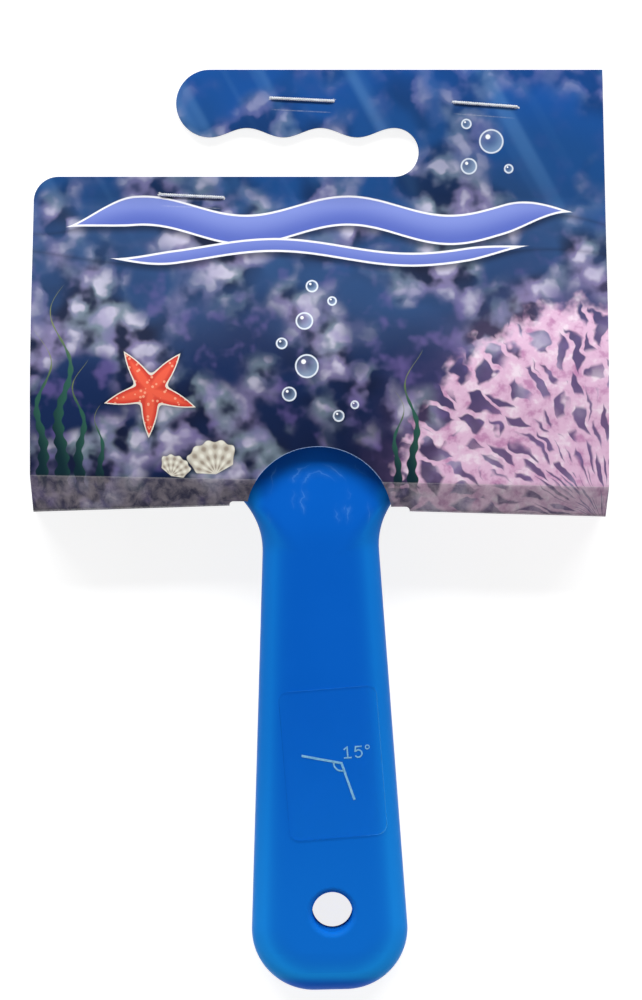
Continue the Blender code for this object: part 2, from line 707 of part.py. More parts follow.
def make_staples(card):
    zinc = material("staple_wire", STAPLE_ZINC)
    low = STAPLE_FLOOR_GAP + WIRE / 2
    high = BACK_LIFT + 2 * CARD + 2 * SEAT_GAP + WIRE / 2
    reach = STAPLE_WIDTH / 2
    inner = reach - STAPLE_BEND
    left = [(STAPLE_CLINCH - reach, low)]
    left += arc(-inner, low + STAPLE_BEND, STAPLE_BEND, 270.0, 180.0)
    left += arc(-inner, high - STAPLE_BEND, STAPLE_BEND, 180.0, 90.0)
    path = left + [(-x, z) for x, z in reversed(left)]
    for name, (x, below, turn) in STAPLES.items():
        curve = bpy.data.curves.new(name, "CURVE")
        curve.dimensions = "3D"
        curve.bevel_depth = WIRE / 2
        curve.bevel_resolution = WIRE_RESOLUTION
        curve.use_fill_caps = True
        curve.materials.append(zinc)
        spline = curve.splines.new("POLY")
        spline.points.add(len(path) - 1)
        for point, (along, z) in zip(spline.points, path):
            point.co = (along, 0.0, z, 1.0)
        made = bpy.data.objects.new(name, curve)
        parts.objects.link(made)
        made.parent = card
        made.location = (x, CARD_HEIGHT - below, 0.0)
        made.rotation_euler = (0.0, 0.0, turn)


body = moulding_mesh()
tilt, neck_height = resting_place(body)
turned = Matrix.Rotation(SCRAPER_TURN, 4, "Z") @ Matrix.Rotation(-tilt, 4, "X")
lying = [turned @ vertex.co for vertex in body.vertices]
card_top = neck_height + max(point.z for point in lying) + CARD_OVER_HANDLE
neck_y = -(CARD_HEIGHT - CREASE_BEHIND_NECK + min(point.y for point in lying)) / 2
scraper_place = Matrix.Translation((SCRAPER_OFFSET, neck_y, neck_height)) @ turned
scraper_frame = frame("scraper_frame", scraper_place)
card_frame = frame("card_frame", Matrix.Translation((0.0, neck_y - CREASE_BEHIND_NECK, 0.0)))

make_moulding(body, scraper_frame)
make_magnet(scraper_frame)
make_blade(scraper_frame)
make_label(scraper_frame)
make_card(card_top, card_frame)
make_staples(card_frame)
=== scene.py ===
"""Looks of the algae scraper in its stapled hang card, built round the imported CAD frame.

Lengths are in metres, in the frame of the CAD. The moulding and the card follow the same sizes as the solids, with
finer meshes: the card is one folded sheet here, with a generic printed sea scene drawn by its material's nodes.
"""

import contextlib
import math

import bmesh
import bpy
from mathutils import Matrix, Vector


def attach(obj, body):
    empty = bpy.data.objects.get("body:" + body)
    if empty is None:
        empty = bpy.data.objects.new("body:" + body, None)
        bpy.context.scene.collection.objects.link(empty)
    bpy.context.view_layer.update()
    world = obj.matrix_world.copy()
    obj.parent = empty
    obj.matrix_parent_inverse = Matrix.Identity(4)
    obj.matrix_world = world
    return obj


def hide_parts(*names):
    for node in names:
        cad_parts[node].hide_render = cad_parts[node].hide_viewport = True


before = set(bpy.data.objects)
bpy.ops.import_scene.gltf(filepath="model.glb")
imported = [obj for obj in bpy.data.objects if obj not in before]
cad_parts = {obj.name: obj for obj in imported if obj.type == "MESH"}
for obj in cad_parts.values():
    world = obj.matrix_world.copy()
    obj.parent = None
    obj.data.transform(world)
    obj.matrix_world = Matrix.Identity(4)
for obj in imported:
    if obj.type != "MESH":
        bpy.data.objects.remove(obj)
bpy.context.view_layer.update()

MM = 0.001

# Moulding in plan: a station is a distance from the handle's free end
HANDLE_LENGTH = 103.7 * MM
HANDLE_END_WIDTH = 31.2 * MM
HANDLE_END_CORNER = 12.4 * MM
WAIST_WIDTH = 23.2 * MM
WAIST_BEHIND_NECK = 14.5 * MM
WAIST_FILLET = 15.0 * MM
HEAD_WIDTH = 102.0 * MM
HEAD_REACH = 38.8 * MM
HEAD_REAR_CORNER = 5.0 * MM
HEAD_REAR_SLANT = math.radians(10.0)
HANDLE_EDGE_ROUND = 8.0 * MM
HEAD_EDGE_ROUND = 1.6 * MM
EDGE_PLATE = 16.4 * MM

# Moulding in side view
BEND_ANGLE = math.radians(15.0)
BEND_LENGTH = 14.0 * MM
HANDLE_THICKNESS = 9.2 * MM
NECK_THICKNESS = 7.4 * MM
NECK_BLEND = 13.0 * MM
CREST_REACH = 17.8 * MM
CREST_TOP = 6.5 * MM
CREST_BOTTOM = 9.8 * MM
LIP_ROUND = 0.5 * MM
NOSE_FULLNESS = 0.62
HEAD_SWELL = 0.6

# Jaws
BLADE_FLOOR = -2.7 * MM
BLADE_BACK = 22.0 * MM
JAW_GAP = 6.0 * MM
JAW_GAP_BACK = 10.4 * MM
JAW_GAP_CHAMFER = 2.6 * MM
UPPER_LIP_REACH = 34.9 * MM
UPPER_LIP_LENGTH = 5.2 * MM
UPPER_LIP_DROP = 2.4 * MM
STOP_HEIGHT = 0.9 * MM
NOTCH_WIDTH = 9.0 * MM
NOTCH_DEPTH = 12.8 * MM
NOTCH_REACH = 24.0 * MM
MAGNET_WIDTH = 10.0 * MM
MAGNET_THICKNESS = 1.8 * MM
MAGNET_BEHIND_LIP = 5.4 * MM
SEAT_GAP = 0.3 * MM
CUT_PAST = 4.0 * MM

# Hanging hole and label
HANG_HOLE = 8.0 * MM
HANG_HOLE_FROM_END = 16.2 * MM
HANG_HOLE_OFFSET = 0.6 * MM
HANG_HOLE_RIM = 1.3 * MM
LABEL_WIDTH = 19.4 * MM
LABEL_HEIGHT = 30.0 * MM
LABEL_CORNER = 2.0 * MM
LABEL_THICKNESS = 0.12 * MM
LABEL_FROM_END = 46.3 * MM
LABEL_OFFSET = 1.4 * MM
LABEL_TURN = math.radians(3.2)
LABEL_GAP = 0.25 * MM

# Card: plan lengths run from the front crease towards the hang tab
CARD = 0.4 * MM
CARD_WIDTH = 114.8 * MM
CARD_TOP_TAPER = 0.6 * MM
CARD_CORNER = 5.0 * MM
CARD_HEIGHT = 82.4 * MM
CARD_TOP = 20.60765 * MM
CARD_SHOULDER = 5.0 * MM
CARD_SHOULDER_DROP = 3.0 * MM
CARD_BASE = 5.6 * MM
CARD_CREST = 14.5 * MM
CARD_BULGE = 1.1
CUTOUT_RISE = 6.7 * MM
CUTOUT_RADIUS = 14.93092 * MM
PINCH = 55.5 * MM
BACK_RISE_LENGTH = 9.0 * MM
BACK_LIFT = 1.1 * MM
TAB_END_X = -22.0 * MM
TAB_END_RADIUS = 6.8 * MM
SLOT_END_X = 15.0 * MM
SLOT_HEIGHT = 9.8 * MM
SLOT_BOTTOM = 60.9 * MM
WAVES = 2.5
WAVE_HEIGHT = 1.9 * MM

# Staples: place across, distance under the card's top edge, turn
WIRE = 0.7 * MM
STAPLE_WIDTH = 12.8 * MM
STAPLE_BEND = 0.8 * MM
STAPLE_CLINCH = 5.2 * MM
STAPLE_FLOOR_GAP = 0.1 * MM
WIRE_SIDES = 12
WIRE_TIP = 0.8  # width of the wire's ends over its own
RIPPLE_PITCH = 0.44 * MM
RIPPLE_DEPTH = 0.28
STAPLES = {
    "staple_tab": (-3.5 * MM, 6.0 * MM, math.radians(-2.8)),
    "staple_right": (33.3 * MM, 7.0 * MM, math.radians(-4.3)),
    "staple_left": (-25.7 * MM, 25.4 * MM, math.radians(-2.7)),
}

# Where the CAD puts the scraper and the card
SCRAPER_TURN = math.radians(1.35)
SCRAPER_OFFSET = -0.1 * MM
SCRAPER_TILT = math.radians(9.400664846585213)
NECK_Y = 11.0240120947361 * MM
NECK_Z = 13.964687216305267 * MM
CREASE_BEHIND_NECK = 1.1 * MM
SCRAPER_PLACE = (
    Matrix.Translation((SCRAPER_OFFSET, NECK_Y, NECK_Z))
    @ Matrix.Rotation(SCRAPER_TURN, 4, "Z")
    @ Matrix.Rotation(-SCRAPER_TILT, 4, "X")
)
CARD_PLACE = Matrix.Translation((0.0, NECK_Y - CREASE_BEHIND_NECK, 0.0))

# Fineness
ARC_STEP = 4.0
EDGE_SEGMENTS = 12
HEAD_STEP = 1.3 * MM
HANDLE_STEP = 4.0 * MM
HOLE_STEPS = 72
WAVE_STEPS = 24
FOLD_STEPS = 3
FRONT_STEP, BACK_STEP, SHOULDER_STEP, WALL_STEP, CARD_STEP = 1.6 * MM, 3.0 * MM, 1.5 * MM, 4.0 * MM, 3.2 * MM
FILM_STEP_X, FILM_STEP_Y = 0.6 * MM, 3.0 * MM
SMOOTH_ANGLE = math.radians(32.0)
CARD_SMOOTH_ANGLE = math.radians(50.0)
WIRE_SMOOTH_ANGLE = math.radians(60.0)
FLAT_ANGLE = math.radians(0.05)
WELD = 0.0005 * MM
SLICE_WELD = 0.0001 * MM

TIP = HANDLE_LENGTH + HEAD_REACH
WAIST = HANDLE_LENGTH - WAIST_BEHIND_NECK
CREST = HANDLE_LENGTH + CREST_REACH
BEND_END = HANDLE_LENGTH + BEND_LENGTH / 2
BEND_START = BEND_END - BEND_LENGTH
BEND_RADIUS = BEND_LENGTH / BEND_ANGLE
ABOVE_BLADE = BLADE_FLOOR + JAW_GAP / 2
SHOULDER = math.hypot(CARD_SHOULDER, CARD_SHOULDER_DROP)
WALL_TOP = CARD_TOP - CARD_SHOULDER_DROP
WALL = WALL_TOP - CARD / 2
BACK_CREASE = -SHOULDER - WALL
TURN = 2.0 * math.pi

# The folded sheet's own detail: soft creases that run aslant, and a nick at each end of the neck's cut-out
CREASES = (0.0, -SHOULDER, BACK_CREASE)
FOLD = 0.7 * MM
CREASE_SHIFT, CREASE_SLANT = -0.24 * MM, -0.0209
FOOT_LEFT_SHIFT, FOOT_LEFT_SLANT = -4.38 * MM, 0.0317
FOOT_RIGHT_SHIFT, FOOT_RIGHT_SLANT = -5.6 * MM, -0.0279
FOOT_TAPER = 0.01
FRONT_SLANT_LENGTH = 25.0 * MM  # how far a crease's slant reaches into its panel
BACK_SLANT_LENGTH = 8.0 * MM
RELIEF = 0.85 * MM
RELIEF_END = 18.1 * MM
RELIEF_STEP = 0.25 * MM
BACK_CUTOUT_RISE = CUTOUT_RISE + 2.0 * MM
SHEET_UNIT = 100.0 * MM  # length of the sheet's UV unit
FOOT_V, BACK_V = -SHOULDER / MM, BACK_CREASE / MM

row = bpy.context.scene.collection
workshop = bpy.data.collections.new("workshop")
row.children.link(workshop)


# --- materials

MOTTLE = (0.3, 0.7)  # the range that most of a noise's values lie in


def adjusted(made, **settings):
    """Anything of Blender's, with its settings made."""
    for name, value in settings.items():
        setattr(made, name, value)
    return made


def ink(*levels):
    """A screen colour, 0 to 255, as the linear colour that nodes use."""
    shares = [level / 255.0 for level in levels]
    return (*(share / 12.92 if share <= 0.04045 else ((share + 0.055) / 1.055) ** 2.4 for share in shares), 1.0)


def grey(level):
    return (level, level, level, 1.0)


def with_math(operation):
    """A method that adds a math node to a value's tree."""
    return lambda value, *others: value.nodes.node("Math", (value, *others), operation=operation)


class Value:
    """A node's output. Arithmetic on it adds nodes to its tree."""

    __add__ = with_math("ADD")
    __sub__ = with_math("SUBTRACT")
    __mul__ = with_math("MULTIPLY")
    __pow__ = with_math("POWER")
    __abs__ = with_math("ABSOLUTE")
    root = with_math("SQRT")
    most = with_math("MAXIMUM")
    sine = with_math("SINE")
    cosine = with_math("COSINE")
    to_and_fro = with_math("PINGPONG")
    angle_over = with_math("ARCTAN2")

    def __init__(self, nodes, socket):
        self.nodes = nodes
        self.socket = socket

    def between(self, start, end, low=0.0, high=1.0):
        """From low to high, smoothly, as the value goes from start to end."""
        inputs = (self, start, end, low, high)
        return self.nodes.node("MapRange", inputs, interpolation_type="SMOOTHSTEP")


def reach(across_it, up_it):
    """Distance from a point, from how far across and up it is."""
    return (across_it * across_it + up_it * up_it).root()


class Nodes:
    """A node tree that is put together value by value."""

    def __init__(self, tree):
        self.tree = tree

    def node(self, kind, inputs=(), output=0, **settings):
        """A new node's output, or a list of its outputs. The inputs are in order, or by name."""
        made = adjusted(self.tree.nodes.new(f"ShaderNode{kind}"), **settings)
        for key, value in inputs.items() if isinstance(inputs, dict) else enumerate(inputs):
            self.feed(made.inputs[key], value)
        if isinstance(output, tuple):
            return [Value(self, made.outputs[key]) for key in output]
        return Value(self, made.outputs[output])

    def feed(self, socket, value):
        if isinstance(value, Value):
            self.tree.links.new(value.socket, socket)
        else:
            socket.default_value = value

    def vector(self, operation, *values, output="Vector"):
        return self.node("VectorMath", values, output, operation=operation)

    def parts(self, place):
        return self.node("SeparateXYZ", (place,), (0, 1, 2))

    def joined(self, *values):
        return self.node("CombineXYZ", values)

    def mix(self, share, first, second):
        return self.node("Mix", {0: share, 6: first, 7: second}, 2, data_type="RGBA")

    def ramp(self, value, *stops, blend="EASE"):
        made = self.node("ValToRGB", (value,))
        colours = made.socket.node.color_ramp
        colours.interpolation = blend
        while len(colours.elements) < len(stops):
            colours.elements.new(1.0)
        for element, (place, colour) in zip(colours.elements, stops):
            element.position = place
            element.color = colour
        return made

    def mottled(self, value, low, high):
        return self.ramp(value, (MOTTLE[0], low), (MOTTLE[1], high))


class Paint(Nodes):
    """A node material with one shader. Its patterns lie in the object's own space."""

    def __init__(self, name, specular=0.5, metallic=0.0, alpha=1.0):
        self.material = bpy.data.materials.new(name)
        self.material.use_nodes = True
        super().__init__(self.material.node_tree)
        self.shader = self.tree.nodes["Principled BSDF"].inputs
        self.shader["Specular IOR Level"].default_value = specular
        self.shader["Metallic"].default_value = metallic
        self.shader["Alpha"].default_value = alpha
        self.place = self.space()

    def space(self):
        return self.node("TexCoord", output="Object")

    def in_millimetres(self, place, unit=1.0):
        return self.node("VectorMath", {0: place, "Scale": unit / MM}, operation="SCALE")

    def sheet(self):
        """The place on the card's flat sheet, in millimetres: across, and up from the front crease."""
        return self.in_millimetres(self.node("UVMap", uv_map="flat_sheet"), SHEET_UNIT)

    def noise(self, scale, detail=2.0, roughness=0.5, distortion=0.0, place=None, output=0):
        inputs = {"Vector": place or self.place, "Scale": scale, "Detail": detail}
        inputs |= {"Roughness": roughness, "Distortion": distortion}
        return self.node("TexNoise", inputs, output)

    def cells(self, scale, feature="F1", place=None):
        inputs = {"Vector": place or self.place, "Scale": scale}
        return self.node("TexVoronoi", inputs, "Distance", feature=feature)

    def done(self, colour, roughness, height=None, depth=0.0, strength=0.0):
        """The material, with its shader fed. Depth and strength belong to the bumps that height draws."""
        self.feed(self.shader["Base Color"], colour)
        self.feed(self.shader["Roughness"], roughness)
        if height:
            bumps = {"Height": height, "Distance": depth, "Strength": strength}
            self.feed(self.shader["Normal"], self.node("Bump", bumps))
        return self.material


# Fades in the blue plastic, from where to where, in millimetres of the CAD's frame. The flank, steepness, hole edge
# and tail fades place painted light; the flow fades place the flow marks
FLANK_SIDE, FLANK_START, FLANK_END = (10.5, 13.5), (-4.0, 1.0), (11.0, 7.0)
STEEPNESS = (0.998, 0.88)  # upward part of the surface's normal
HOLE_EDGE = (5.6, 7.0)
TAIL, TAIL_GLOW, TAIL_BAND = (-30.0, -90.0), (-80.0, -89.5), (-89.2, -91.2)
FLOW_MIDDLE = 7.5
FLOW_RINGS = (5.8, 7.8, 11.8)  # how far the flow marks lie round the middle of the neck
FLOW_WAVER = 4.5
FLOW_CORE, FLOW_HALO = (0.26, 0.06, 0.0, 0.62), (1.2, 0.0, 0.0, 0.16)
FLOW_START, FLOW_END = (0.5, 4.0), (13.5, 11.5)


def blue_plastic(name, specular):
    """Satin moulded polypropylene with painted light: lighter on its steep edges, on the neck's flanks and towards
    the free end. Faint flow marks on the neck, a fine grain.
    """
    paint = Paint(name, specular)
    side, along, _ = paint.parts(paint.in_millimetres(paint.place))
    _, _, upright = paint.parts(paint.node("NewGeometry", output="Normal"))
    hole = SCRAPER_PLACE @ HOLE_MIDDLE / MM
    off_hole = reach(side - hole.x, along - hole.y)
    # Painted light: the neck's flanks and the steep edges away from the hole are made lighter, for the light that
    # they catch
    painted_flank_light = abs(side).between(*FLANK_SIDE) * along.between(*FLANK_START) * along.between(*FLANK_END)
    painted_edge_light = painted_flank_light.most(abs(upright).between(*STEEPNESS) * off_hole.between(*HOLE_EDGE))
    # Painted light: lighter towards the free end, lightest at its corners and its last band
    painted_tail_light = along.between(*TAIL)
    pale = paint.mix(painted_tail_light, ink(12, 122, 218), ink(22, 140, 234))
    pale = paint.mix(along.between(*TAIL_GLOW), pale, ink(22, 158, 255))
    colour = paint.mottled(paint.noise(45.0, 3.0, 0.55), ink(6, 96, 201), ink(8, 99, 205))
    colour = paint.mix(painted_edge_light, paint.mix(painted_tail_light, colour, ink(14, 114, 216)), pale)
    colour = paint.mix(along.between(*TAIL_BAND), colour, ink(0, 112, 242))
    arch = paint.noise(190.0, 3.0, 0.6, 0.6) * FLOW_WAVER + reach(side, (along - FLOW_MIDDLE).most(0.0))
    away = [abs(arch - ring) for ring in FLOW_RINGS]
    lines = [off.between(*FLOW_CORE).most(off.between(*FLOW_HALO)) for off in away]
    flow = lines[0].most(lines[1]).most(lines[2]) * paint.noise(150.0).between(0.4, 0.6, 0.0, 0.5)
    near_neck = along.between(*FLOW_START) * along.between(*FLOW_END)
    colour = paint.mix(flow * near_neck * upright.between(0.6, 0.9), colour, ink(96, 164, 232))
    scuff = paint.noise(380.0, 4.0, 0.6).between(0.25, 0.75, 0.33, 0.4)
    return paint.done(colour, scuff, paint.noise(2600.0), 0.01 * MM, 0.5)


def black_ferrite():
    """Sintered ferrite: nearly black, dull, with fine pits and chalky specks."""
    paint = Paint("black_ferrite", specular=0.4)
    cloud = paint.noise(240.0, 4.0, 0.6)
    specks = paint.noise(2400.0, 2.0, 0.6)
    colour = paint.mottled(cloud, ink(24, 24, 26), ink(44, 44, 47))
    colour = paint.mix(specks.between(0.66, 0.74, 0.0, 0.5), colour, ink(96, 94, 92))
    return paint.done(colour, cloud.between(*MOTTLE, 0.52, 0.7), specks, 0.04 * MM, 0.4)


def brushed_steel(name, colour, run, roughness, metallic):
    """Drawn steel with fine lines along its length."""
    paint = Paint(name, metallic=metallic)
    lines = paint.noise(900.0, 3.0, 0.6, place=paint.vector("MULTIPLY", paint.place, run))
    dark = (*(0.72 * level for level in colour), 1.0)
    tone = paint.ramp(lines, (0.25, dark), (0.75, (*colour, 1.0)))
    return paint.done(tone, lines.between(*MOTTLE, roughness - 0.08, roughness + 0.12), lines, 0.01 * MM, 0.35)


def thin_coat(name, specular, scale, detail, colours, roughness, alpha=1.0):
    """Film or ink of slightly uneven colour and roughness."""
    paint = Paint(name, specular, alpha=alpha)
    cloud = paint.noise(scale, detail, 0.6)
    return paint.done(paint.mottled(cloud, *colours), cloud.between(*MOTTLE, *roughness))


# Painted highlights towards the film's top and right edges, from where to where, in millimetres of the CAD's frame
FILM_TOP_HIGHLIGHT, FILM_RIGHT_HIGHLIGHT = (-36.0, -32.0), (6.0, 11.5)


def film_edge():
    """The film's cut edge, with painted highlights at the right and at the top, where it has lifted a little."""
    paint = Paint("film_edge", specular=0.2, alpha=0.26)
    x, y, _ = paint.parts(paint.in_millimetres(paint.place))
    cloud = paint.noise(500.0, 3.0, 0.6)
    # Painted highlight: lighter towards the top and the right edge
    colour = paint.mix(y.between(*FILM_TOP_HIGHLIGHT), ink(8, 104, 206), ink(90, 200, 255))
    colour = paint.mix(x.between(*FILM_RIGHT_HIGHLIGHT), colour, ink(130, 232, 255))
    colour = paint.mix(cloud.between(*MOTTLE, 0.0, 0.25), colour, ink(14, 110, 206))
    return paint.done(colour, cloud.between(*MOTTLE, 0.26, 0.36))


def board(name, pale, fibre, stained=False):
    """Bare paper board with fibres. Round the neck its cut edge is stained by the print."""
    paint = Paint(name, specular=0.2)
    fibres = paint.noise(1300.0, 3.0, 0.7, 1.0, paint.vector("MULTIPLY", paint.place, (1.0, 3.0, 1.0)))
    colour = paint.ramp(paint.noise(130.0, 3.0, 0.6), (0.3, fibre), (0.62, pale))
    colour = paint.mix(fibres.between(0.6, 0.75, 0.0, 0.35), colour, fibre)
    if stained:
        x, v, _ = paint.parts(paint.sheet())
        neck = abs(x).between(16.5, 15.5) * v.between(FOOT_V - 0.3, FOOT_V) * v.between(9.0, 8.0)
        stain = paint.mix(v.between(-1.2, 1.0), ink(58, 60, 78), ink(150, 180, 226))
        colour = paint.mix(neck, colour, stain)
    return paint.done(colour, fibres.between(*MOTTLE, 0.74, 0.9), fibres, 0.03 * MM, 0.4)


PAPER = ink(226, 226, 224)
SHADE = ink(10, 16, 34)


class Print(Paint):
    """Gloss print on the card's flat sheet, laid down colour by colour over open water."""

    def __init__(self, name, specular):
        super().__init__(name, specular)
        self.x, self.v, _ = self.parts(self.place)
        self.colour = self.water()

    def space(self):
        return self.sheet()

    def lay(self, share, colour):
        self.colour = self.mix(share, self.colour, colour)

    def around(self, middle):
        """Distance and angle of the sheet's points round a point."""
        across_it, up_it = self.x - middle[0], self.v - middle[1]
        return reach(across_it, up_it), up_it.angle_over(across_it)

    def water(self):
        """From navy at the bottom to bright blue at the top, with slanting light."""
        v = self.v
        depth = v * (1.0 / 95.0) + 0.08 + (self.noise(0.028, 2.0, 0.5, 0.3) * 0.6 - 0.3)
        lower = (0.0, ink(14, 24, 56)), (0.3, ink(22, 42, 84)), (0.52, ink(38, 70, 116))
        colour = self.ramp(depth, *lower, (0.74, ink(30, 78, 140)), (1.0, ink(28, 86, 166)))
        rays = self.noise(0.11, place=self.joined(v * 0.55 + self.x, 0.0, 0.0))
        return self.mix(rays.between(0.5, 0.66) * v.between(34.0, 84.0, 0.0, 0.34), colour, ink(98, 152, 208))

    def reef(self):
        """Out-of-focus rock and coral heads."""
        v = self.v
        shaken = self.vector("MULTIPLY_ADD", self.noise(0.3, output="Color"), (3.4, 3.4, 0.0), self.place)
        heads = self.cells(0.26, "SMOOTH_F1", shaken).between(0.72, 0.12)
        tone = heads * 0.46 + self.noise(0.2, 2.0, 0.45)
        pale = self.mix(self.noise(0.1, 1.0).between(0.42, 0.6), ink(128, 120, 160), ink(116, 132, 146))
        rock = self.mix(tone.between(0.5, 0.78), ink(20, 27, 54), pale)
        rock = self.mix(tone.between(0.76, 0.98, 0.0, 0.85), rock, ink(206, 202, 222))
        clump = self.noise(0.055, 2.0, 0.5, 0.2)
        self.lay(clump.between(0.42, 0.6) * v.between(84.0, 44.0, 0.35, 0.92), rock)
        violet = self.noise(0.2)
        self.lay(violet.between(0.5, 0.72) * v.between(60.0, 20.0, 0.05, 0.5), ink(112, 96, 160))

    def sea_fan(self):
        """A pink sea fan that grows from the lower right corner."""
        away, angle = self.around((57.0, -7.0))
        ragged = self.noise(0.16, 3.0, 0.6) * 14.0 + away
        self.lay(ragged.between(62.0, 26.0, 0.0, 0.62), ink(134, 104, 150))
        wobble = self.noise(0.2) * 0.22 + angle
        net = self.cells(1.0, "DISTANCE_TO_EDGE", self.joined(wobble * 10.0, away * 0.14, 0.0))
        stems = (wobble * 4.0).to_and_fro(0.5).between(0.16, 0.06) * away.between(34.0, 20.0)
        shade = self.noise(0.3, 3.0, 0.6)
        flesh = self.ramp(shade, (0.3, ink(196, 138, 180)), (0.5, ink(228, 188, 216)), (0.7, ink(244, 224, 238)))
        self.lay(net.between(0.2, 0.1).most(stems) * ragged.between(51.0, 47.0) * 0.9, flesh)

    def ribbon(self, height, swing, length, phase, half, half_length):
        """A wave-shaped ribbon with a white outline and a soft shadow."""
        above = self.v - ((self.x * (TURN / length) + phase).sine() * swing + height)
        width = abs(self.x).between(half_length, half_length - 16.0, -0.6, half)
        past = abs(above) - width
        self.lay((abs(above + 0.9) - width).between(1.5, -0.4, 0.0, 0.7), ink(12, 20, 44))
        self.lay(past.between(0.48, 0.36), ink(240, 240, 246))
        fill = self.ramp(above * 0.16 + 0.5, (0.1, ink(86, 104, 186)), (0.9, ink(126, 142, 212)))
        self.lay(past.between(0.06, -0.06), fill)

    def weed(self, foot, tall, sway, length, phase, half):
        """A frond of seaweed, which thins out as it rises."""
        v = self.v
        side = self.x - ((v * (TURN / length) + phase).sine() * v * (sway / tall) + foot)
        frill = (v * 2.1).sine() * 0.22 + 0.9
        past = abs(side) - v.between(tall, -6.0, 0.0, half) * frill
        share = v * (1.0 / tall) + side * 0.12
        leaf = self.ramp(share, (0.0, ink(16, 42, 52)), (0.55, ink(46, 92, 80)), (1.0, ink(146, 152, 66)))
        self.lay(past.between(0.1, -0.1) * v.between(tall, tall - 1.0) * v.between(-3.5, 0.5), leaf)

    def shell(self, middle, lean, radius):
        """A ribbed shell seen from outside."""
        away, angle = self.around(middle)
        turn = angle - (math.pi / 2 + lean)
        wide = abs(turn)
        rib = (turn * 15.0).cosine()
        past = away - (rib * (0.035 * radius) + 0.95 * radius) * wide.between(1.35, 0.7, 0.55, 1.0)
        self.lay(wide.between(1.6, 1.2) * past.between(1.3, -0.3, 0.0, 0.55), SHADE)
        tone = (away * (22.0 / radius)).sine() * 0.16 + (rib * 0.24 + 0.5)
        flesh = self.ramp(tone, (0.1, ink(158, 146, 132)), (0.5, ink(206, 200, 186)), (0.9, ink(232, 230, 218)))
        self.lay(wide.between(1.32, 1.26) * past.between(0.1, -0.1), flesh)

    def star(self, middle, lean, radius):
        """A red sea star with a pale outline and pale knobs."""
        away, angle = self.around(middle)
        share = (angle + (lean + 2.0 * TURN)).to_and_fro(TURN / 10) * (-10.0 / TURN) + 1.0
        past = away - (share**2.1 * (0.66 * radius) + 0.34 * radius)
        self.lay(past.between(2.4, 0.0, 0.0, 0.6), SHADE)
        self.lay(past.between(0.62, 0.5), ink(226, 220, 208))
        skin = self.ramp(past * (-1.0 / (0.34 * radius)), (0.0, ink(206, 62, 52)), (1.0, ink(236, 96, 72)))
        skin = self.mix(self.cells(0.95).between(0.3, 0.2, 0.0, 0.75), skin, ink(246, 178, 146))
        self.lay(past.between(0.06, -0.06), skin)

    def bubble(self, x, v, radius):
        """A bubble: a bright rim, a faint filling and a glint."""
        glint = (x - 0.3 * radius, v + 0.4 * radius, 0.0)
        away, off = (self.vector("DISTANCE", self.place, spot, output="Value") for spot in ((x, v, 0.0), glint))
        inside = away.between(radius + 0.08, radius - 0.08)
        self.lay(inside * off.between(0.3 * radius, 1.5 * radius, 0.06, 0.42), ink(176, 206, 236))
        self.lay(abs(away - radius).between(0.22, 0.1, 0.0, 0.85), ink(232, 240, 250))
        self.lay(off.between(0.26 * radius, 0.16 * radius), ink(250, 252, 255))

    def base(self):
        """The shoulder and the base under the front crease: paler, like rubble on the sea's bed."""
        rubble = self.mottled(self.noise(0.45, 4.0, 0.6, 0.4), ink(72, 68, 90), ink(190, 178, 186))
        self.lay(self.v.between(0.1, -0.1) * self.v.between(BACK_V, FOOT_V, 0.1, 0.44), rubble)

    def back(self):
        """The back panel: pale, with a blue wave towards the hang tab."""
        past = self.v - ((self.x * (TURN / 64.0) + 0.8).sine() * 4.0 + (BACK_V - 58.0))
        cloud = self.noise(0.06, 3.0)
        pale = self.mottled(cloud, ink(206, 216, 226), ink(226, 231, 236))
        deep = self.mottled(cloud, ink(26, 74, 146), ink(38, 92, 166))
        back = self.mix(past.between(0.1, -0.1), pale, deep)
        back = self.mix(abs(past - 3.0).between(1.0, 0.8), back, ink(110, 130, 202))
        self.lay(self.v.between(BACK_V + 0.4, BACK_V - 0.4), back)

    def wear(self):
        """Bare paper along the creases and the neck's cut-out, and the marks of the stapler."""
        x, v = self.x, self.v
        fray = self.noise(1.6, 3.0, 0.65)
        for crease, half, strength in CRACKS:
            self.lay(abs(v - crease).between(half, 0.3 * half) * fray.between(0.42, 0.62, 0.1, strength), PAPER)
        radius = CUTOUT_RADIUS / MM
        away = reach(x, v - (CUTOUT_RISE / MM - radius))
        rim = away.between(radius + 0.14, radius + 0.05) * v.between(-0.8, 0.8)
        self.lay(rim * fray.between(0.3, 0.5, 0.55, 0.85), ink(150, 178, 222))
        for place_x, below, turn in STAPLES.values():
            right = x - place_x / MM
            up = v - (CARD_HEIGHT - below) / MM
            off = right * -math.sin(turn) + up * math.cos(turn)
            end = abs(up * math.sin(turn) + right * math.cos(turn)) - STAPLE_WIDTH / 2 / MM
            dent = abs(off + 2.3).between(0.16, 0.05) * end.between(0.0, -1.5)
            self.lay(dent * fray.between(*MOTTLE, 0.06, 0.22), PAPER)
            torn = fray * -2.4 + reach(end, off)
            self.lay(torn.between(-0.9, -1.05, 0.0, 0.85), PAPER)


# The print's motifs, in millimetres of the flat sheet
# Ribbons: height, swing, wave length, phase, half width, half length
RIBBONS = ((52.0, 2.0, 41.0, 0.7, 2.7, 53.0), (45.4, 1.5, 55.0, 2.6, 1.0, 45.0))
# Weeds: foot, height, sway, wave length, phase, half width
WEEDS = (
    (-55.0, 30.0, 2.4, 19.0, 0.4, 1.3),
    (-51.0, 39.0, 3.0, 23.0, 2.0, 1.5),
    (-47.5, 24.0, 2.0, 15.0, 3.6, 1.2),
    (-43.5, 15.0, 1.4, 12.0, 5.0, 1.0),
    (15.5, 18.0, 1.6, 13.0, 1.2, 1.0),
    (18.5, 26.0, 2.2, 17.0, 4.2, 1.2),
)
# Shells and stars: middle, lean, radius
SHELLS = (((-20.5, 0.9), 0.25, 7.0), ((-29.4, 0.4), -0.4, 4.4))
STARS = (((-33.5, 17.5), 0.35, 9.0),)
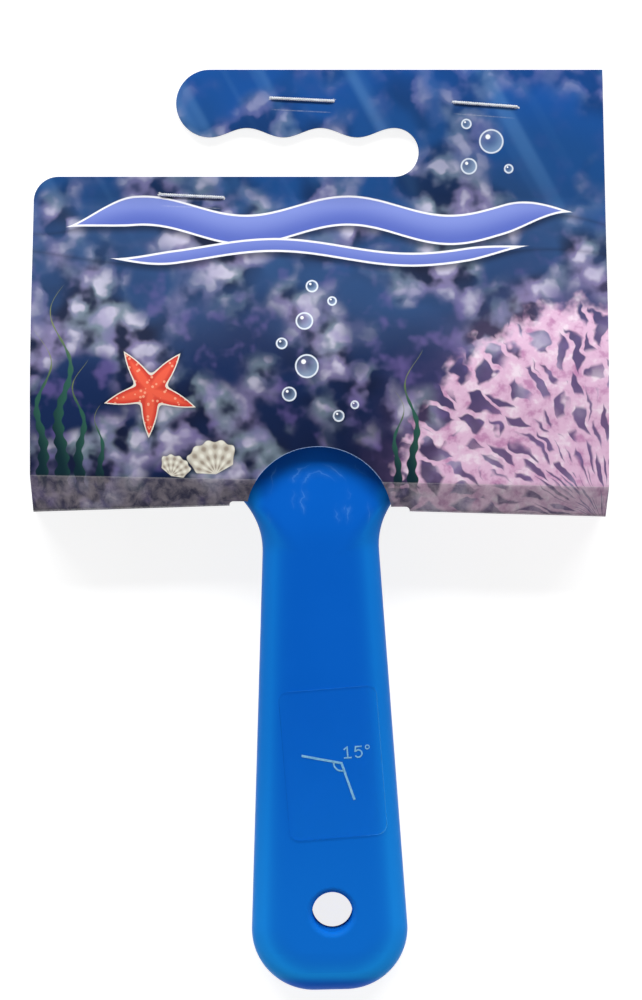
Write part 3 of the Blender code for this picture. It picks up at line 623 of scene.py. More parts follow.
# Bubbles: across, up, radius
BUBBLES = (
    *((-6.0, 17.0, 1.3), (-2.5, 22.5, 2.2), (-7.5, 27.0, 1.0), (-3.0, 31.5, 1.6), (2.5, 35.5, 0.8)),
    *((-1.5, 38.5, 1.1), (7.0, 15.0, 0.7), (3.8, 12.8, 1.0)),
    *((30.0, 63.0, 1.5), (34.5, 68.0, 2.3), (29.5, 71.5, 0.9), (38.0, 62.5, 0.8)),
)
# Cracks of the creases: place, half width, strength
CRACKS = ((0.0, 0.16, 0.16), (FOOT_V, 0.26, 0.4), (BACK_V, 0.3, 0.5))


def printed_card():
    paint = Print("printed_card", 0.4)
    paint.reef()
    paint.sea_fan()
    drawn = ((paint.ribbon, RIBBONS), (paint.weed, WEEDS), (paint.shell, SHELLS), (paint.star, STARS))
    for draw, motifs in (*drawn, (paint.bubble, BUBBLES)):
        for motif in motifs:
            draw(*motif)
    paint.base()
    paint.back()
    paint.wear()
    roughness = paint.noise(0.4, 3.0, 0.6).between(*MOTTLE, 0.32, 0.37)
    return paint.done(paint.colour, roughness, paint.noise(0.045), 0.4 * MM, 0.2)


# --- shapes


def ease(share):
    """0 to 1 with a level start and a level end."""
    return 0.5 - 0.5 * math.cos(math.pi * min(max(share, 0.0), 1.0))


def swell(share):
    """0 to 1 with an early rise, a level start and a level end."""
    return ease(max(share, 0.0) ** HEAD_SWELL)


def arc(x, y, radius, start, end):
    """Points of an arc from one angle to another, in degrees."""
    steps = max(2, math.ceil(abs(end - start) / ARC_STEP))
    angles = [math.radians(start + (end - start) * step / steps) for step in range(steps + 1)]
    return [(x + radius * math.cos(angle), y + radius * math.sin(angle)) for angle in angles]


def mirrored(points):
    """The points and their mirror images on the other side, as one line."""
    return points + [(-x, y) for x, y in reversed(points)]


def spread(low, high, step):
    """Even values from low to high, about a step apart, both ends left out."""
    count = max(1, math.ceil((high - low) / step))
    return [low + (high - low) * index / count for index in range(1, count)]


def divided(points, step):
    """A line of points with more of them, no more than a step apart."""
    line = []
    for (x0, y0), (x1, y1) in zip(points, points[1:]):
        count = max(1, math.ceil(math.hypot(x1 - x0, y1 - y0) / step))
        line += [(x0 + (x1 - x0) * index / count, y0 + (y1 - y0) * index / count) for index in range(count)]
    return line + [points[-1]]


def linked(name, data, collection=workshop):
    made = bpy.data.objects.new(name, data)
    collection.objects.link(made)
    return made


def mesh_of(name, shape):
    """The mesh of a worked-out shape, which is freed."""
    mesh = bpy.data.meshes.new(name)
    shape.to_mesh(mesh)
    shape.free()
    return mesh


@contextlib.contextmanager
def edited(mesh):
    """A mesh's shape, which goes back into the mesh after the work on it."""
    shape = bmesh.new()
    shape.from_mesh(mesh)
    yield shape
    shape.to_mesh(mesh)
    shape.free()


def modified(made, kind, **settings):
    adjusted(made.modifiers.new(kind, kind), **settings)


def applied(made):
    """The object's mesh with its modifiers applied. The object is removed."""
    graph = bpy.context.evaluated_depsgraph_get()
    mesh = bpy.data.meshes.new_from_object(made.evaluated_get(graph))
    bpy.data.objects.remove(made, do_unlink=True)
    return mesh


def cleaned(made, flatten=True):
    """The same with doubled points joined."""
    name = made.name
    raw = applied(made)
    shape = bmesh.new()
    shape.from_mesh(raw)
    bpy.data.meshes.remove(raw)
    bmesh.ops.remove_doubles(shape, verts=shape.verts, dist=WELD)
    bmesh.ops.dissolve_degenerate(shape, edges=shape.edges, dist=WELD)
    if flatten:
        bmesh.ops.dissolve_limit(shape, angle_limit=FLAT_ANGLE, verts=[], edges=shape.edges)
    bmesh.ops.recalc_face_normals(shape, faces=shape.faces)
    return mesh_of(name, shape)


def thickened(name, mesh, thickness, slots, **settings):
    """A sheet that is given its thickness, with slots for the materials of its sides."""
    for _ in range(slots):
        mesh.materials.append(None)
    made = linked(name, mesh)
    modified(made, "SOLIDIFY", thickness=thickness, **settings)
    return applied(made)


def flat_shape(name, outlines, thickness=0.0):
    """The mesh of flat outlines in X and Y, centred on Z = 0: the later ones are holes in the first."""
    curve = bpy.data.curves.new(name, "CURVE")
    adjusted(curve, dimensions="2D", fill_mode="BOTH", extrude=thickness / 2)
    for outline in outlines:
        spline = curve.splines.new("POLY")
        spline.points.add(len(outline) - 1)
        for point, (x, y) in zip(spline.points, outline):
            point.co = (x, y, 0.0, 1.0)
        spline.use_cyclic_u = True
    mesh = cleaned(linked(name, curve))
    bpy.data.curves.remove(curve)
    return mesh


def sliced(mesh, places, axis):
    """Adds the edges where planes square to an axis cross the mesh."""
    normal = Vector([float(index == axis) for index in range(3)])
    with edited(mesh) as shape:
        for place in places:
            everything = shape.verts[:] + shape.edges[:] + shape.faces[:]
            bmesh.ops.bisect_plane(shape, geom=everything, dist=SLICE_WELD, plane_co=normal * place, plane_no=normal)


def moved(mesh, rule):
    """Moves each point of a mesh to where a rule puts it."""
    for vertex in mesh.vertices:
        vertex.co = rule(*vertex.co)


def smooth(mesh, angle=SMOOTH_ANGLE):
    mesh.shade_smooth()
    mesh.set_sharp_from_angle(angle=angle)


def shown(name, mesh, body, slot, *materials):
    """A piece of the object, in place in the row frame."""
    made = linked(name, mesh, row)
    while len(mesh.materials) < len(materials):
        mesh.materials.append(None)
    for index, material in enumerate(materials):
        mesh.materials[index] = material
    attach(made, body)
    return made


# --- moulding


def moulding_half_outline():
    """Right half of the moulding's outline, from the handle's free end to the lip: (x, station)."""
    end = (HANDLE_END_WIDTH / 2 - HANDLE_END_CORNER, HANDLE_END_CORNER)
    waist = (WAIST_WIDTH / 2 + WAIST_FILLET, WAIST)
    run = Vector(waist) - Vector(end)
    lean = math.atan2(run.y, run.x) - math.acos((HANDLE_END_CORNER + WAIST_FILLET) / run.length)
    slant = math.degrees(HEAD_REAR_SLANT)
    rear_x = HEAD_WIDTH / 2 - HEAD_REAR_CORNER
    foot = Vector(waist) + WAIST_FILLET * Vector((-math.sin(HEAD_REAR_SLANT), math.cos(HEAD_REAR_SLANT)))
    rear_edge = foot.y + (rear_x - foot.x) * math.tan(HEAD_REAR_SLANT)
    rear_y = rear_edge + HEAD_REAR_CORNER / math.cos(HEAD_REAR_SLANT)
    points = arc(*end, HANDLE_END_CORNER, -90.0, math.degrees(lean))
    points += arc(*waist, WAIST_FILLET, 180.0 + math.degrees(lean), 90.0 + slant)
    points += arc(rear_x, rear_y, HEAD_REAR_CORNER, slant - 90.0, 0.0)
    return points + [(HEAD_WIDTH / 2, TIP)]


HALF_OUTLINE = moulding_half_outline()


def half_width(station):
    """Half the moulding's width at a distance from its free end."""
    for (x0, y0), (x1, y1) in zip(HALF_OUTLINE, HALF_OUTLINE[1:]):
        if y0 <= station <= y1 and y1 > y0:
            return x0 + (x1 - x0) * (station - y0) / (y1 - y0)
    return HEAD_WIDTH / 2


def surface(station, crest, nose):
    """Distance of the front or the back surface from the middle line, with its crest and its nose's height."""
    neck = NECK_THICKNESS / 2
    if station >= CREST:
        share = (station - CREST) / (TIP + LIP_ROUND - CREST)
        return crest - nose + nose * max(0.0, 1.0 - share**2) ** NOSE_FULLNESS
    if station >= HANDLE_LENGTH:
        return neck + (crest - neck) * swell((station - HANDLE_LENGTH) / CREST_REACH)
    return neck + (HANDLE_THICKNESS / 2 - neck) * ease((HANDLE_LENGTH - station) / NECK_BLEND)


def top_height(station):
    return surface(station, CREST_TOP, CREST_TOP - BLADE_FLOOR)


def bottom_height(station):
    return -surface(station, CREST_BOTTOM, CREST_BOTTOM + BLADE_FLOOR)


def bent(x, station, height):
    """A point of the straightened moulding, in the head frame: the handle is bent back at the neck."""
    if station >= BEND_END:
        return Vector((x, station - HANDLE_LENGTH, height))
    turn = min((BEND_END - station) / BEND_RADIUS, BEND_ANGLE)
    straight = max(BEND_START - station, 0.0)
    y = BEND_LENGTH / 2 - (BEND_RADIUS + height) * math.sin(turn) - straight * math.cos(turn)
    z = (BEND_RADIUS + height) * math.cos(turn) - BEND_RADIUS - straight * math.sin(turn)
    return Vector((x, y, z))


HOLE_MIDDLE = bent(HANG_HOLE_OFFSET, HANG_HOLE_FROM_END, 0.0)
BORE_REACH = HANG_HOLE / 2 + 0.2 * HANG_HOLE_RIM
BORE_STEEPNESS = 0.5


def shaped(x, station, height):
    """A point of the rounded plate, taken to the moulding's own thickness and bent."""
    share = 0.5 + height / EDGE_PLATE
    low = bottom_height(station)
    return bent(x, station, low + share * (top_height(station) - low))


def front_point(x, station, lift):
    """A point over the handle's front, which is level in the middle and rounds off to its edges."""
    into_edge = max(0.0, HANDLE_EDGE_ROUND - (half_width(station) - abs(x)))
    drop = HANDLE_EDGE_ROUND - math.sqrt(HANDLE_EDGE_ROUND**2 - into_edge**2)
    flattened = (top_height(station) - bottom_height(station)) / EDGE_PLATE
    return bent(x, station, top_height(station) - drop * flattened + lift)


def weigh_edges(plate):
    """Marks the plate's rim for its rounding: full along the handle, fine round the head."""
    fine = HEAD_EDGE_ROUND / HANDLE_EDGE_ROUND
    with edited(plate) as shape:
        weights = shape.edges.layers.float.new("bevel_weight_edge")
        for edge in shape.edges:
            start, end = (vertex.co for vertex in edge.verts)
            if abs(start.z - end.z) < EDGE_PLATE / 2:
                into_head = ((start.y + end.y) / 2 - WAIST) / WAIST_FILLET
                edge[weights] = 1.0 + (fine - 1.0) * ease(into_head)


def across_head(name, outline):
    """A tool that cuts an outline in Y and Z right across the head."""
    mesh = flat_shape(name, [outline], HEAD_WIDTH + CUT_PAST)
    mesh.transform(Matrix(((0, 0, 1, 0), (1, 0, 0, 0), (0, 1, 0, 0), (0, 0, 0, 1))))
    return linked(name, mesh)


def jaw_gap():
    """The gap between the jaws, open in front and at both ends, with the step that the blade's back meets."""
    roof = BLADE_FLOOR + JAW_GAP
    lip_under = roof - UPPER_LIP_DROP
    lip_root = UPPER_LIP_REACH - UPPER_LIP_LENGTH
    stop = BLADE_BACK - SEAT_GAP
    step = BLADE_FLOOR + STOP_HEIGHT
    past, over = HEAD_REACH + CUT_PAST, CREST_TOP + CUT_PAST
    outline = [(JAW_GAP_BACK, step), (stop, step), (stop, BLADE_FLOOR), (past, BLADE_FLOOR), (past, over)]
    outline += [(UPPER_LIP_REACH, over), (UPPER_LIP_REACH, lip_under), (lip_root, lip_under)]
    outline += [(lip_root - UPPER_LIP_DROP, roof), (JAW_GAP_BACK + JAW_GAP_CHAMFER, roof)]
    return across_head("jaw_gap", outline + [(JAW_GAP_BACK, roof - JAW_GAP_CHAMFER)])


def magnet_groove():
    """The groove in the lower jaw that the magnet lies in, under the blade."""
    front = HEAD_REACH - MAGNET_BEHIND_LIP + SEAT_GAP
    back = front - MAGNET_WIDTH - 2 * SEAT_GAP
    depth = BLADE_FLOOR - MAGNET_THICKNESS - SEAT_GAP
    return across_head("magnet_groove", [(back, depth), (front, depth), (front, ABOVE_BLADE), (back, ABOVE_BLADE)])


def finger_notch():
    """The notch at one end of the upper jaw, where a finger pushes the blade out sideways."""
    inner = HEAD_WIDTH / 2 - NOTCH_DEPTH + NOTCH_WIDTH / 2
    outer = HEAD_WIDTH / 2 + CUT_PAST
    outline = arc(inner, NOTCH_REACH, NOTCH_WIDTH / 2, 90.0, 270.0)
    outline += [(outer, NOTCH_REACH - NOTCH_WIDTH / 2), (outer, NOTCH_REACH + NOTCH_WIDTH / 2)]
    mesh = flat_shape("finger_notch", [outline], CREST_TOP)
    mesh.transform(Matrix.Translation((0.0, 0.0, ABOVE_BLADE + CREST_TOP / 2)))
    return linked("finger_notch", mesh)


def hanging_hole():
    """The hole near the handle's free end, with a rounded rim on both faces, turned about its own axis."""
    rim_x = HANG_HOLE / 2 + HANG_HOLE_RIM
    above = HANDLE_THICKNESS / 2 + CUT_PAST
    rim = arc(rim_x, HANDLE_THICKNESS / 2 - HANG_HOLE_RIM, HANG_HOLE_RIM, 90.0, 180.0)
    upper = [(0.0, above), (rim_x, above)] + rim
    lower = [(radius, -height) for radius, height in reversed(upper)]
    shape = bmesh.new()
    line = [shape.verts.new((radius, 0.0, height)) for radius, height in upper + lower]
    for pair in zip(line, line[1:]):
        shape.edges.new(pair)
    made = linked("hanging_hole", mesh_of("hanging_hole", shape))
    made.matrix_world = Matrix.Translation(HOLE_MIDDLE) @ Matrix.Rotation(BEND_ANGLE, 4, "X")
    steps = {"steps": HOLE_STEPS, "render_steps": HOLE_STEPS}
    modified(made, "SCREW", use_merge_vertices=True, merge_threshold=WELD, **steps)
    return made


def mark_bore(mesh):
    """Gives the hanging hole's wall the second material: the core pin leaves it dull."""
    axis = Vector((0.0, -math.sin(BEND_ANGLE), math.cos(BEND_ANGLE)))
    for face in mesh.polygons:
        away = face.center - HOLE_MIDDLE
        off_axis = (away - axis * away.dot(axis)).length
        if off_axis < BORE_REACH and abs(face.normal.dot(axis)) < BORE_STEEPNESS:
            face.material_index = 1


def make_moulding():
    plate = flat_shape("moulding_plate", [mirrored(HALF_OUTLINE)], EDGE_PLATE)
    weigh_edges(plate)
    rounded = linked("moulding", plate)
    rounding = {"width": HANDLE_EDGE_ROUND, "segments": EDGE_SEGMENTS}
    modified(rounded, "BEVEL", limit_method="WEIGHT", use_clamp_overlap=False, **rounding)
    mesh = cleaned(rounded)
    straight = spread(0.0, BEND_START - NECK_BLEND, HANDLE_STEP)
    sliced(mesh, straight + spread(BEND_START - NECK_BLEND, TIP, HEAD_STEP), axis=1)
    moved(mesh, shaped)
    whole = linked("moulding", mesh)
    tools = [jaw_gap(), magnet_groove(), finger_notch(), hanging_hole()]
    for tool in tools:
        modified(whole, "BOOLEAN", operation="DIFFERENCE", object=tool)
    bpy.context.view_layer.update()
    mesh = cleaned(whole, flatten=False)
    for tool in tools:
        bpy.data.objects.remove(tool, do_unlink=True)
    mark_bore(mesh)
    mesh.transform(SCRAPER_PLACE)
    smooth(mesh)
    satin, dull = blue_plastic("blue_plastic", 0.12), blue_plastic("blue_bore", 0.0)
    made = shown("moulding", mesh, "scraper", "blue_plastic", satin, dull)
    modified(made, "WEIGHTED_NORMAL", keep_sharp=True)
    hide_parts("handle_moulding")


# --- label


def rounded_rectangle(width, height, corner):
    points = []
    for turn, (side, end) in enumerate(((1, -1), (1, 1), (-1, 1), (-1, -1))):
        middle = (side * (width / 2 - corner), end * (height / 2 - corner))
        points += arc(*middle, corner, 90.0 * turn - 90.0, 90.0 * turn)
    return points


LABEL_PLACE = Matrix.Translation((LABEL_OFFSET, LABEL_FROM_END, 0.0)) @ Matrix.Rotation(LABEL_TURN, 4, "Z")
FILM_LIFT = 0.02 * MM  # the film is drawn down to the handle, its top stays where the CAD has it
FILM_RIM = 0.22 * MM
MARK_LIFT = 0.06 * MM
MARK_THICKNESS = 0.02 * MM
# Strokes of the angle mark and its number, in millimetres from the label's middle: half width and points
STROKE_STEP = 0.8
LEAST_MITER = 0.4
ANGLE_VERTEX = (1.73, -0.09)
ANGLE_ENDS = ((-6.1, 2.0), (3.73, -7.63))
ANGLE_ARC = 1.55
ANGLE_TURNS = [math.degrees(math.atan2(y - ANGLE_VERTEX[1], x - ANGLE_VERTEX[0])) % 360.0 for x, y in ANGLE_ENDS]
STROKES = (
    (0.23, (ANGLE_ENDS[0], ANGLE_VERTEX, ANGLE_ENDS[1])),
    (0.14, ((2.35, 2.55), (3.08, 3.02), (3.08, 0.92))),
    (0.13, ((2.3, 0.9), (3.86, 0.9))),
    (0.14, ((6.0, 2.98), (4.75, 2.98), (4.62, 1.95))),
    (0.17, arc(*ANGLE_VERTEX, ANGLE_ARC, *ANGLE_TURNS)),
    (0.14, arc(5.22, 1.58, 0.72, 142.0, -148.0)),
    (0.1, arc(7.1, 2.72, 0.38, 0.0, 360.0)),
)


def stroke_faces(shape, points, half):
    """A flat stroke along points, with mitred corners."""
    line = [Vector((x, y, 0.0)) for x, y in divided(points, STROKE_STEP)]
    rows = []
    for index, point in enumerate(line):
        before = (point - line[index - 1]).normalized() if index else None
        after = (line[index + 1] - point).normalized() if index + 1 < len(line) else before
        before = before or after
        ahead = (before + after).normalized()
        side = Vector((-ahead.y, ahead.x, 0.0))
        miter = half / max(LEAST_MITER, side.dot(Vector((-before.y, before.x, 0.0))))
        rows.append([shape.verts.new((point + side * off) * MM) for off in (-miter, miter)])
    for first, second in zip(rows, rows[1:]):
        shape.faces.new((first[0], second[0], second[1], first[1]))


def on_label(name, mesh, lift, thickness):
    """A flat shape in the label's frame, laid on the handle's front and given its thickness."""
    mesh.transform(LABEL_PLACE)
    moved(mesh, lambda x, y, z: SCRAPER_PLACE @ front_point(x, y, lift))
    mesh = thickened(name, mesh, thickness, 2, offset=1.0, material_offset_rim=1)
    smooth(mesh)
    return mesh


def make_label():
    flat = flat_shape("label_film", [rounded_rectangle(LABEL_WIDTH, LABEL_HEIGHT, LABEL_CORNER)])
    with edited(flat) as shape:
        rim = bmesh.ops.inset_region(shape, faces=shape.faces[:], thickness=FILM_RIM, use_even_offset=True)
        for face in rim["faces"]:
            face.material_index = 1
    sliced(flat, spread(-LABEL_WIDTH / 2, LABEL_WIDTH / 2, FILM_STEP_X), axis=0)
    sliced(flat, spread(-LABEL_HEIGHT / 2, LABEL_HEIGHT / 2, FILM_STEP_Y), axis=1)
    mesh = on_label("label_film", flat, FILM_LIFT, LABEL_GAP + LABEL_THICKNESS - FILM_LIFT)
    # Painted light: the film's blue is lighter than the plastic, to lift the faint shade that the film casts on the
    # handle
    shade_lifting_blues = (ink(26, 136, 250), ink(38, 144, 255))
    clear = thin_coat("clear_film", 0.4, 500.0, 3.0, shade_lifting_blues, (0.26, 0.36), alpha=0.02)
    film = shown("label_film", mesh, "scraper", "clear_film", clear, film_edge())
    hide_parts("handle_label")
    shape = bmesh.new()
    for half, points in STROKES:
        stroke_faces(shape, points, half)
    mesh = on_label("label_marks", mesh_of("label_marks", shape), MARK_LIFT, MARK_THICKNESS)
    pales = (ink(112, 178, 222), ink(146, 200, 232))
    pale = thin_coat("label_ink", 0.2, 2600.0, 2.0, pales, (0.42, 0.58))
    shown("label_marks", mesh, "scraper", "clear_film", pale, pale)


# --- card


def tab_outline():
    """The card's upper end, from its right edge round the hang tab and its slot to its left edge."""
    half = CARD_WIDTH / 2
    low = CARD_HEIGHT - 2 * TAB_END_RADIUS
    points = [(half, PINCH), (half - CARD_TOP_TAPER, CARD_HEIGHT)]
    points += arc(TAB_END_X, CARD_HEIGHT - TAB_END_RADIUS, TAB_END_RADIUS, 90.0, 270.0)
    steps = round(WAVES * WAVE_STEPS)
    run = SLOT_END_X - TAB_END_X
    for step in range(1, steps):
        rise = 0.5 - 0.5 * math.cos(TURN * step / WAVE_STEPS)
        points.append((TAB_END_X + run * step / steps, low + WAVE_HEIGHT * rise))
    points += arc(SLOT_END_X, SLOT_BOTTOM + SLOT_HEIGHT / 2, SLOT_HEIGHT / 2, 90.0, -90.0)
    return points + arc(CARD_CORNER - half, SLOT_BOTTOM - CARD_CORNER, CARD_CORNER, 90.0, 180.0)


def neck_cutout():
    """The hole for the neck in the flat sheet: round in the front panel and its shoulder, wider in the rest."""
    middle = CUTOUT_RISE - CUTOUT_RADIUS
    shoulder_x = math.sqrt(CUTOUT_RADIUS**2 - (CARD_SHOULDER + middle) ** 2)
    front = arc(0.0, middle, CUTOUT_RADIUS, 0.0, 90.0)
    front = [(x, y if y >= 0.0 else y * SHOULDER / CARD_SHOULDER) for x, y in front]
    front = [(x, v) for x, v in front if v > -SHOULDER + RELIEF]
    relief = arc(RELIEF_END - RELIEF, -SHOULDER, RELIEF, 0.0, 90.0)
    relief.append((shoulder_x - RELIEF_STEP, -SHOULDER + 0.9 * RELIEF))
    back = [
        (RELIEF_END * math.cos(turn), BACK_CREASE - BACK_CUTOUT_RISE * math.sin(turn))
        for turn in (math.radians(step * ARC_STEP) for step in range(round(90.0 / ARC_STEP), -1, -1))
    ]
    half = back + relief + front
    return half + [(-x, v) for x, v in reversed(half) if x > WELD]


def card_outline():
    """The whole flat sheet: front panel, base, and the back panel turned over its crease."""
    upper = tab_outline()
    return upper + [(x, turned_over(y)) for x, y in reversed(upper)]


def turned_over(place):
    """From a place along the back panel to the place in the flat sheet, and the other way."""
    return BACK_CREASE - CARD_BASE - place


def back_height(y):
    """Middle of the back panel: on the floor, but lifted over the staples' clinched legs."""
    return CARD / 2 + BACK_LIFT * ease((y - PINCH + BACK_RISE_LENGTH) / BACK_RISE_LENGTH)


def front_height(y):
    """Middle of the front panel: flat on the back one at the staples, then up over the head."""
    pinched = CARD / 2 + BACK_LIFT + CARD + SEAT_GAP
    share = min(max((PINCH - y) / (PINCH - CARD_CREST), 0.0), 1.0)
    return pinched + (CARD_TOP - pinched) * math.sin(0.5 * math.pi * share**CARD_BULGE)


def crease_y(x):
    """Plan place of the front crease, which runs slightly aslant."""
    return CREASE_SHIFT + CREASE_SLANT * x


def foot_y(x):
    """Plan place of the shoulder's lower crease."""
    return FOOT_LEFT_SHIFT + FOOT_LEFT_SLANT * x if x < 0.0 else FOOT_RIGHT_SHIFT + FOOT_RIGHT_SLANT * x


def base_y(x):
    """Plan place of the back crease, which never stands out from under the shoulder."""
    return max(-CARD_BASE, foot_y(x))


def plain_point(x, v):
    """A point of the flat sheet, folded with sharp creases, in the card's frame."""
    if v >= 0.0:
        return Vector((x, v + crease_y(x) * max(0.0, 1.0 - v / FRONT_SLANT_LENGTH), front_height(v)))
    if v >= -SHOULDER:
        share = -v / SHOULDER
        y = crease_y(x) + share * (foot_y(x) - crease_y(x))
        return Vector((x * (1.0 - FOOT_TAPER * share), y, CARD_TOP - CARD_SHOULDER_DROP * share))
    if v >= BACK_CREASE:
        share = (-SHOULDER - v) / WALL
        y = foot_y(x) + share * (base_y(x) - foot_y(x))
        return Vector((x * (1.0 - FOOT_TAPER * (1.0 - share)), y, WALL_TOP - WALL * share))
    y = turned_over(v)
    near_crease = max(0.0, 1.0 - (BACK_CREASE - v) / BACK_SLANT_LENGTH)
    return Vector((x, y + (base_y(x) + CARD_BASE) * near_crease, back_height(y)))


def card_point(x, v, _):
    """The same with softly rounded creases."""
    for crease in CREASES:
        if abs(v - crease) < FOLD:
            share = (v - crease + FOLD) / (2 * FOLD)
            before, corner, after = (plain_point(x, crease + off) for off in (-FOLD, 0.0, FOLD))
            return before * (1 - share) ** 2 + corner * (2 * share * (1 - share)) + after * share**2
    return plain_point(x, v)


def make_card():
    mesh = flat_shape("card", [card_outline(), neck_cutout()])
    rows = spread(0.0, CARD_HEIGHT, FRONT_STEP)
    rows += [turned_over(y) for y in spread(-CARD_BASE, CARD_HEIGHT, BACK_STEP)]
    rows += spread(-SHOULDER, 0.0, SHOULDER_STEP) + spread(BACK_CREASE, -SHOULDER, WALL_STEP)
    for crease in CREASES:
        rows += [crease + FOLD * step / FOLD_STEPS for step in range(-FOLD_STEPS, FOLD_STEPS + 1)]
    sliced(mesh, rows, axis=1)
    sliced(mesh, spread(-CARD_WIDTH / 2, CARD_WIDTH / 2, CARD_STEP), axis=0)
    layer = mesh.uv_layers.new(name="flat_sheet")
    for loop in mesh.loops:
        x, v, _ = mesh.vertices[loop.vertex_index].co
        layer.data[loop.index].uv = (x / SHEET_UNIT, v / SHEET_UNIT)
    moved(mesh, card_point)
    mesh.transform(CARD_PLACE)
    sides = {"offset": 0.0, "use_even_offset": True, "material_offset": 1, "material_offset_rim": 2}
    mesh = thickened("card", mesh, CARD, 3, **sides)
    smooth(mesh, CARD_SMOOTH_ANGLE)
    plain = board("plain_board", ink(222, 222, 216), ink(196, 194, 186))
    cut_edge = board("cut_edge", ink(236, 236, 232), ink(212, 210, 204), stained=True)
    made = shown("card", mesh, "card_wrap", "printed_card", printed_card(), plain, cut_edge)
    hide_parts("card_front_panel", "card_back_panel", "card_base_left", "card_base_right")


# --- staples


def staple_path():
    """The wire's middle line: along, and up."""
    low = STAPLE_FLOOR_GAP + WIRE / 2
    high = BACK_LIFT + 2 * CARD + SEAT_GAP + WIRE / 2
    half = STAPLE_WIDTH / 2
    inner = half - STAPLE_BEND
    left = [(STAPLE_CLINCH - half, low)]
    left += arc(-inner, low + STAPLE_BEND, STAPLE_BEND, 270.0, 180.0)
    left += arc(-inner, high - STAPLE_BEND, STAPLE_BEND, 180.0, 90.0)
    return mirrored(left)


def wire_tube(path):
    """A round wire along a path in X and Z, with fine ripples along it."""
    points = divided(path, RIPPLE_PITCH / 4)
    last = len(points) - 1
    side = Vector((0.0, 1.0, 0.0))
    along = 0.0
    rings = []
    shape = bmesh.new()
    for index, (x, z) in enumerate(points):
        before, after = points[max(index - 1, 0)], points[min(index + 1, last)]
        along += math.hypot(x - before[0], z - before[1])
        ahead = Vector((after[0] - before[0], 0.0, after[1] - before[1])).normalized()
        up = ahead.cross(side)
        ripple = 0.5 - 0.5 * math.cos(TURN * along / RIPPLE_PITCH)
        wide = WIRE / 2 * (1.0 - RIPPLE_DEPTH * ripple) * (WIRE_TIP if index in (0, last) else 1.0)
        angles = (TURN * corner / WIRE_SIDES for corner in range(WIRE_SIDES))
        around = [math.cos(angle) * side + math.sin(angle) * up for angle in angles]
        rings.append([shape.verts.new(Vector((x, 0.0, z)) + wide * outward) for outward in around])
    for first, second in zip(rings, rings[1:]):
        for corner in range(WIRE_SIDES):
            following = (corner + 1) % WIRE_SIDES
            shape.faces.new((first[corner], first[following], second[following], second[corner]))
    shape.faces.new(list(reversed(rings[0])))
    shape.faces.new(rings[-1])
    bmesh.ops.recalc_face_normals(shape, faces=shape.faces)
    return mesh_of("staple", shape)


def make_staples():
    zinc = brushed_steel("staple_zinc", (0.93, 0.96, 1.0), (1.0, 4.0, 4.0), 0.32, metallic=0.25)
    for name, (x, below, turn) in STAPLES.items():
        mesh = wire_tube(staple_path())
        place = Matrix.Translation((x, CARD_HEIGHT - below, 0.0))
        mesh.transform(CARD_PLACE @ place @ Matrix.Rotation(turn, 4, "Z"))
        smooth(mesh, WIRE_SMOOTH_ANGLE)
        made = shown(f"{name}_wire", mesh, "card_wrap", "staple_wire", zinc)
        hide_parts(name)


# --- stage

FLOOR_REACH = 6.0
FLOOR_GLOW = 0.83  # what the floor sends out where it is seen, which makes it white there
# Lamps: place, size, power
LAMPS = {
    "key": ((0.0, 0.95, 0.9), (1.7, 0.3), 21.2),
    "fill_left": ((-1.2, -0.35, 0.4), (0.3, 0.5), 2.4),
    "fill_right": ((1.2, -0.35, 0.4), (0.3, 0.5), 2.4),
}
# The camera's view: height, and the point in its middle
VIEW_HEIGHT = 200.0 * MM
VIEW_MIDDLE = Vector((0.3 * MM, 5.9 * MM, 8.0 * MM))
CAMERA_DISTANCE = 1.4
CAMERA_SIGHT = 50.0
SENSOR = 36.0


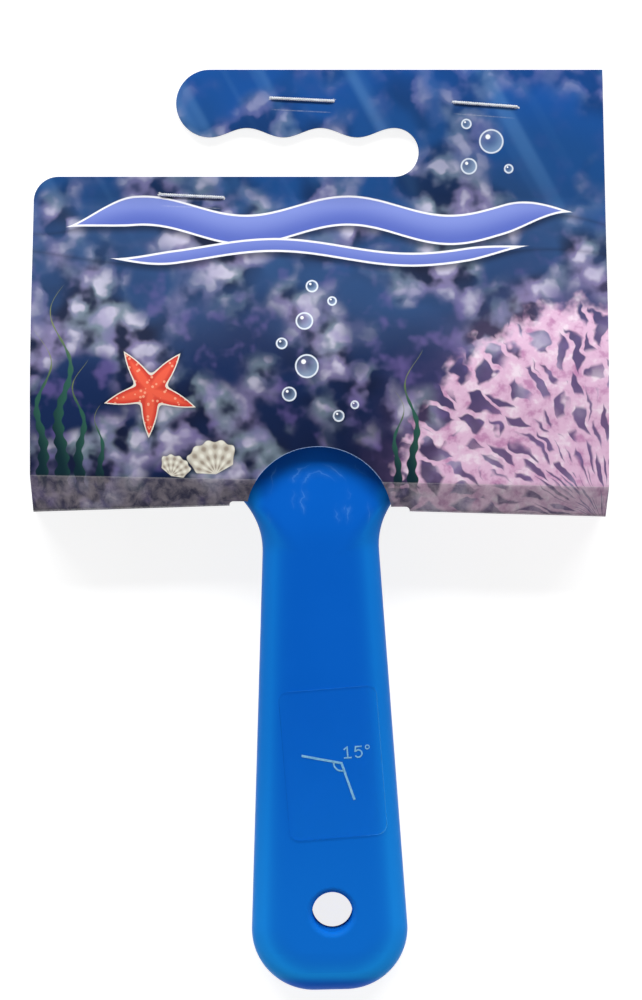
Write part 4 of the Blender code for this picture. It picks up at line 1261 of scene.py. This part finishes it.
def make_floor():
    shape = bmesh.new()
    bmesh.ops.create_grid(shape, x_segments=1, y_segments=1, size=FLOOR_REACH)
    mesh = mesh_of("floor", shape)
    made = linked("floor", mesh, row)
    paint = Paint("floor_white", specular=0.0)
    tone = paint.ramp(paint.noise(3.0), (0.0, grey(0.39)), (1.0, grey(0.41)))
    rays = ("Is Camera Ray", "Is Glossy Ray", "Is Transmission Ray")
    camera, glossy, through = paint.node("LightPath", output=rays)
    paint.feed(paint.shader["Emission Color"], grey(1.0))
    paint.feed(paint.shader["Emission Strength"], camera.most(glossy).most(through) * FLOOR_GLOW)
    mesh.materials.append(paint.done(tone, 0.9))


def make_world():
    """A pale room: brighter round the horizon than overhead, and white where the camera sees it."""
    world = bpy.data.worlds.new("studio")
    bpy.context.scene.world = world
    world.use_nodes = True
    room = Nodes(world.node_tree)
    room.tree.nodes.clear()
    _, _, up = room.parts(room.node("TexCoord", output="Generated"))
    tone = room.ramp(up, (0.0, grey(0.5)), (0.95, grey(0.07)), blend="LINEAR")
    light = room.node("Background", (tone,))
    white = room.node("Background", (grey(1.0),))
    camera = room.node("LightPath", output="Is Camera Ray")
    choice = room.node("MixShader", (camera, light, white))
    room.feed(room.tree.nodes.new("ShaderNodeOutputWorld").inputs[0], choice)


def make_lamp(name, place, size, power):
    """A soft lamp that is aimed at the object and leaves no mirror image on it."""
    width, height = size
    lamp = bpy.data.lights.new(name, "AREA")
    adjusted(lamp, shape="RECTANGLE", size=width, size_y=height, energy=power)
    made = linked(name, lamp, row)
    made.location = place
    made.rotation_euler = (-made.location).to_track_quat("-Z", "Y").to_euler()
    made.visible_glossy = False


def make_camera():
    """Straight down on the front, in the photograph's frame."""
    camera = bpy.data.cameras.new("camera")
    lens = SENSOR * CAMERA_DISTANCE / VIEW_HEIGHT
    adjusted(camera, sensor_fit="VERTICAL", sensor_height=SENSOR, lens=lens, clip_end=CAMERA_SIGHT)
    made = linked("camera", camera, row)
    made.location = VIEW_MIDDLE + Vector((0.0, 0.0, CAMERA_DISTANCE))
    bpy.context.scene.camera = made


make_camera()
make_world()
for lamp_name, settings in LAMPS.items():
    make_lamp(lamp_name, *settings)
make_floor()
make_moulding()
make_label()
make_card()
make_staples()

steel = brushed_steel("blade_steel", (0.8, 0.81, 0.82), (0.06, 1.0, 1.0), 0.3, metallic=0.55)
for node, material in (("blade", steel), ("magnet_bar", black_ferrite())):
    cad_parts[node].data.materials.clear()
    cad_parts[node].data.materials.append(material)

bpy.data.collections.remove(workshop)
bpy.context.scene.view_settings.view_transform = "Standard"
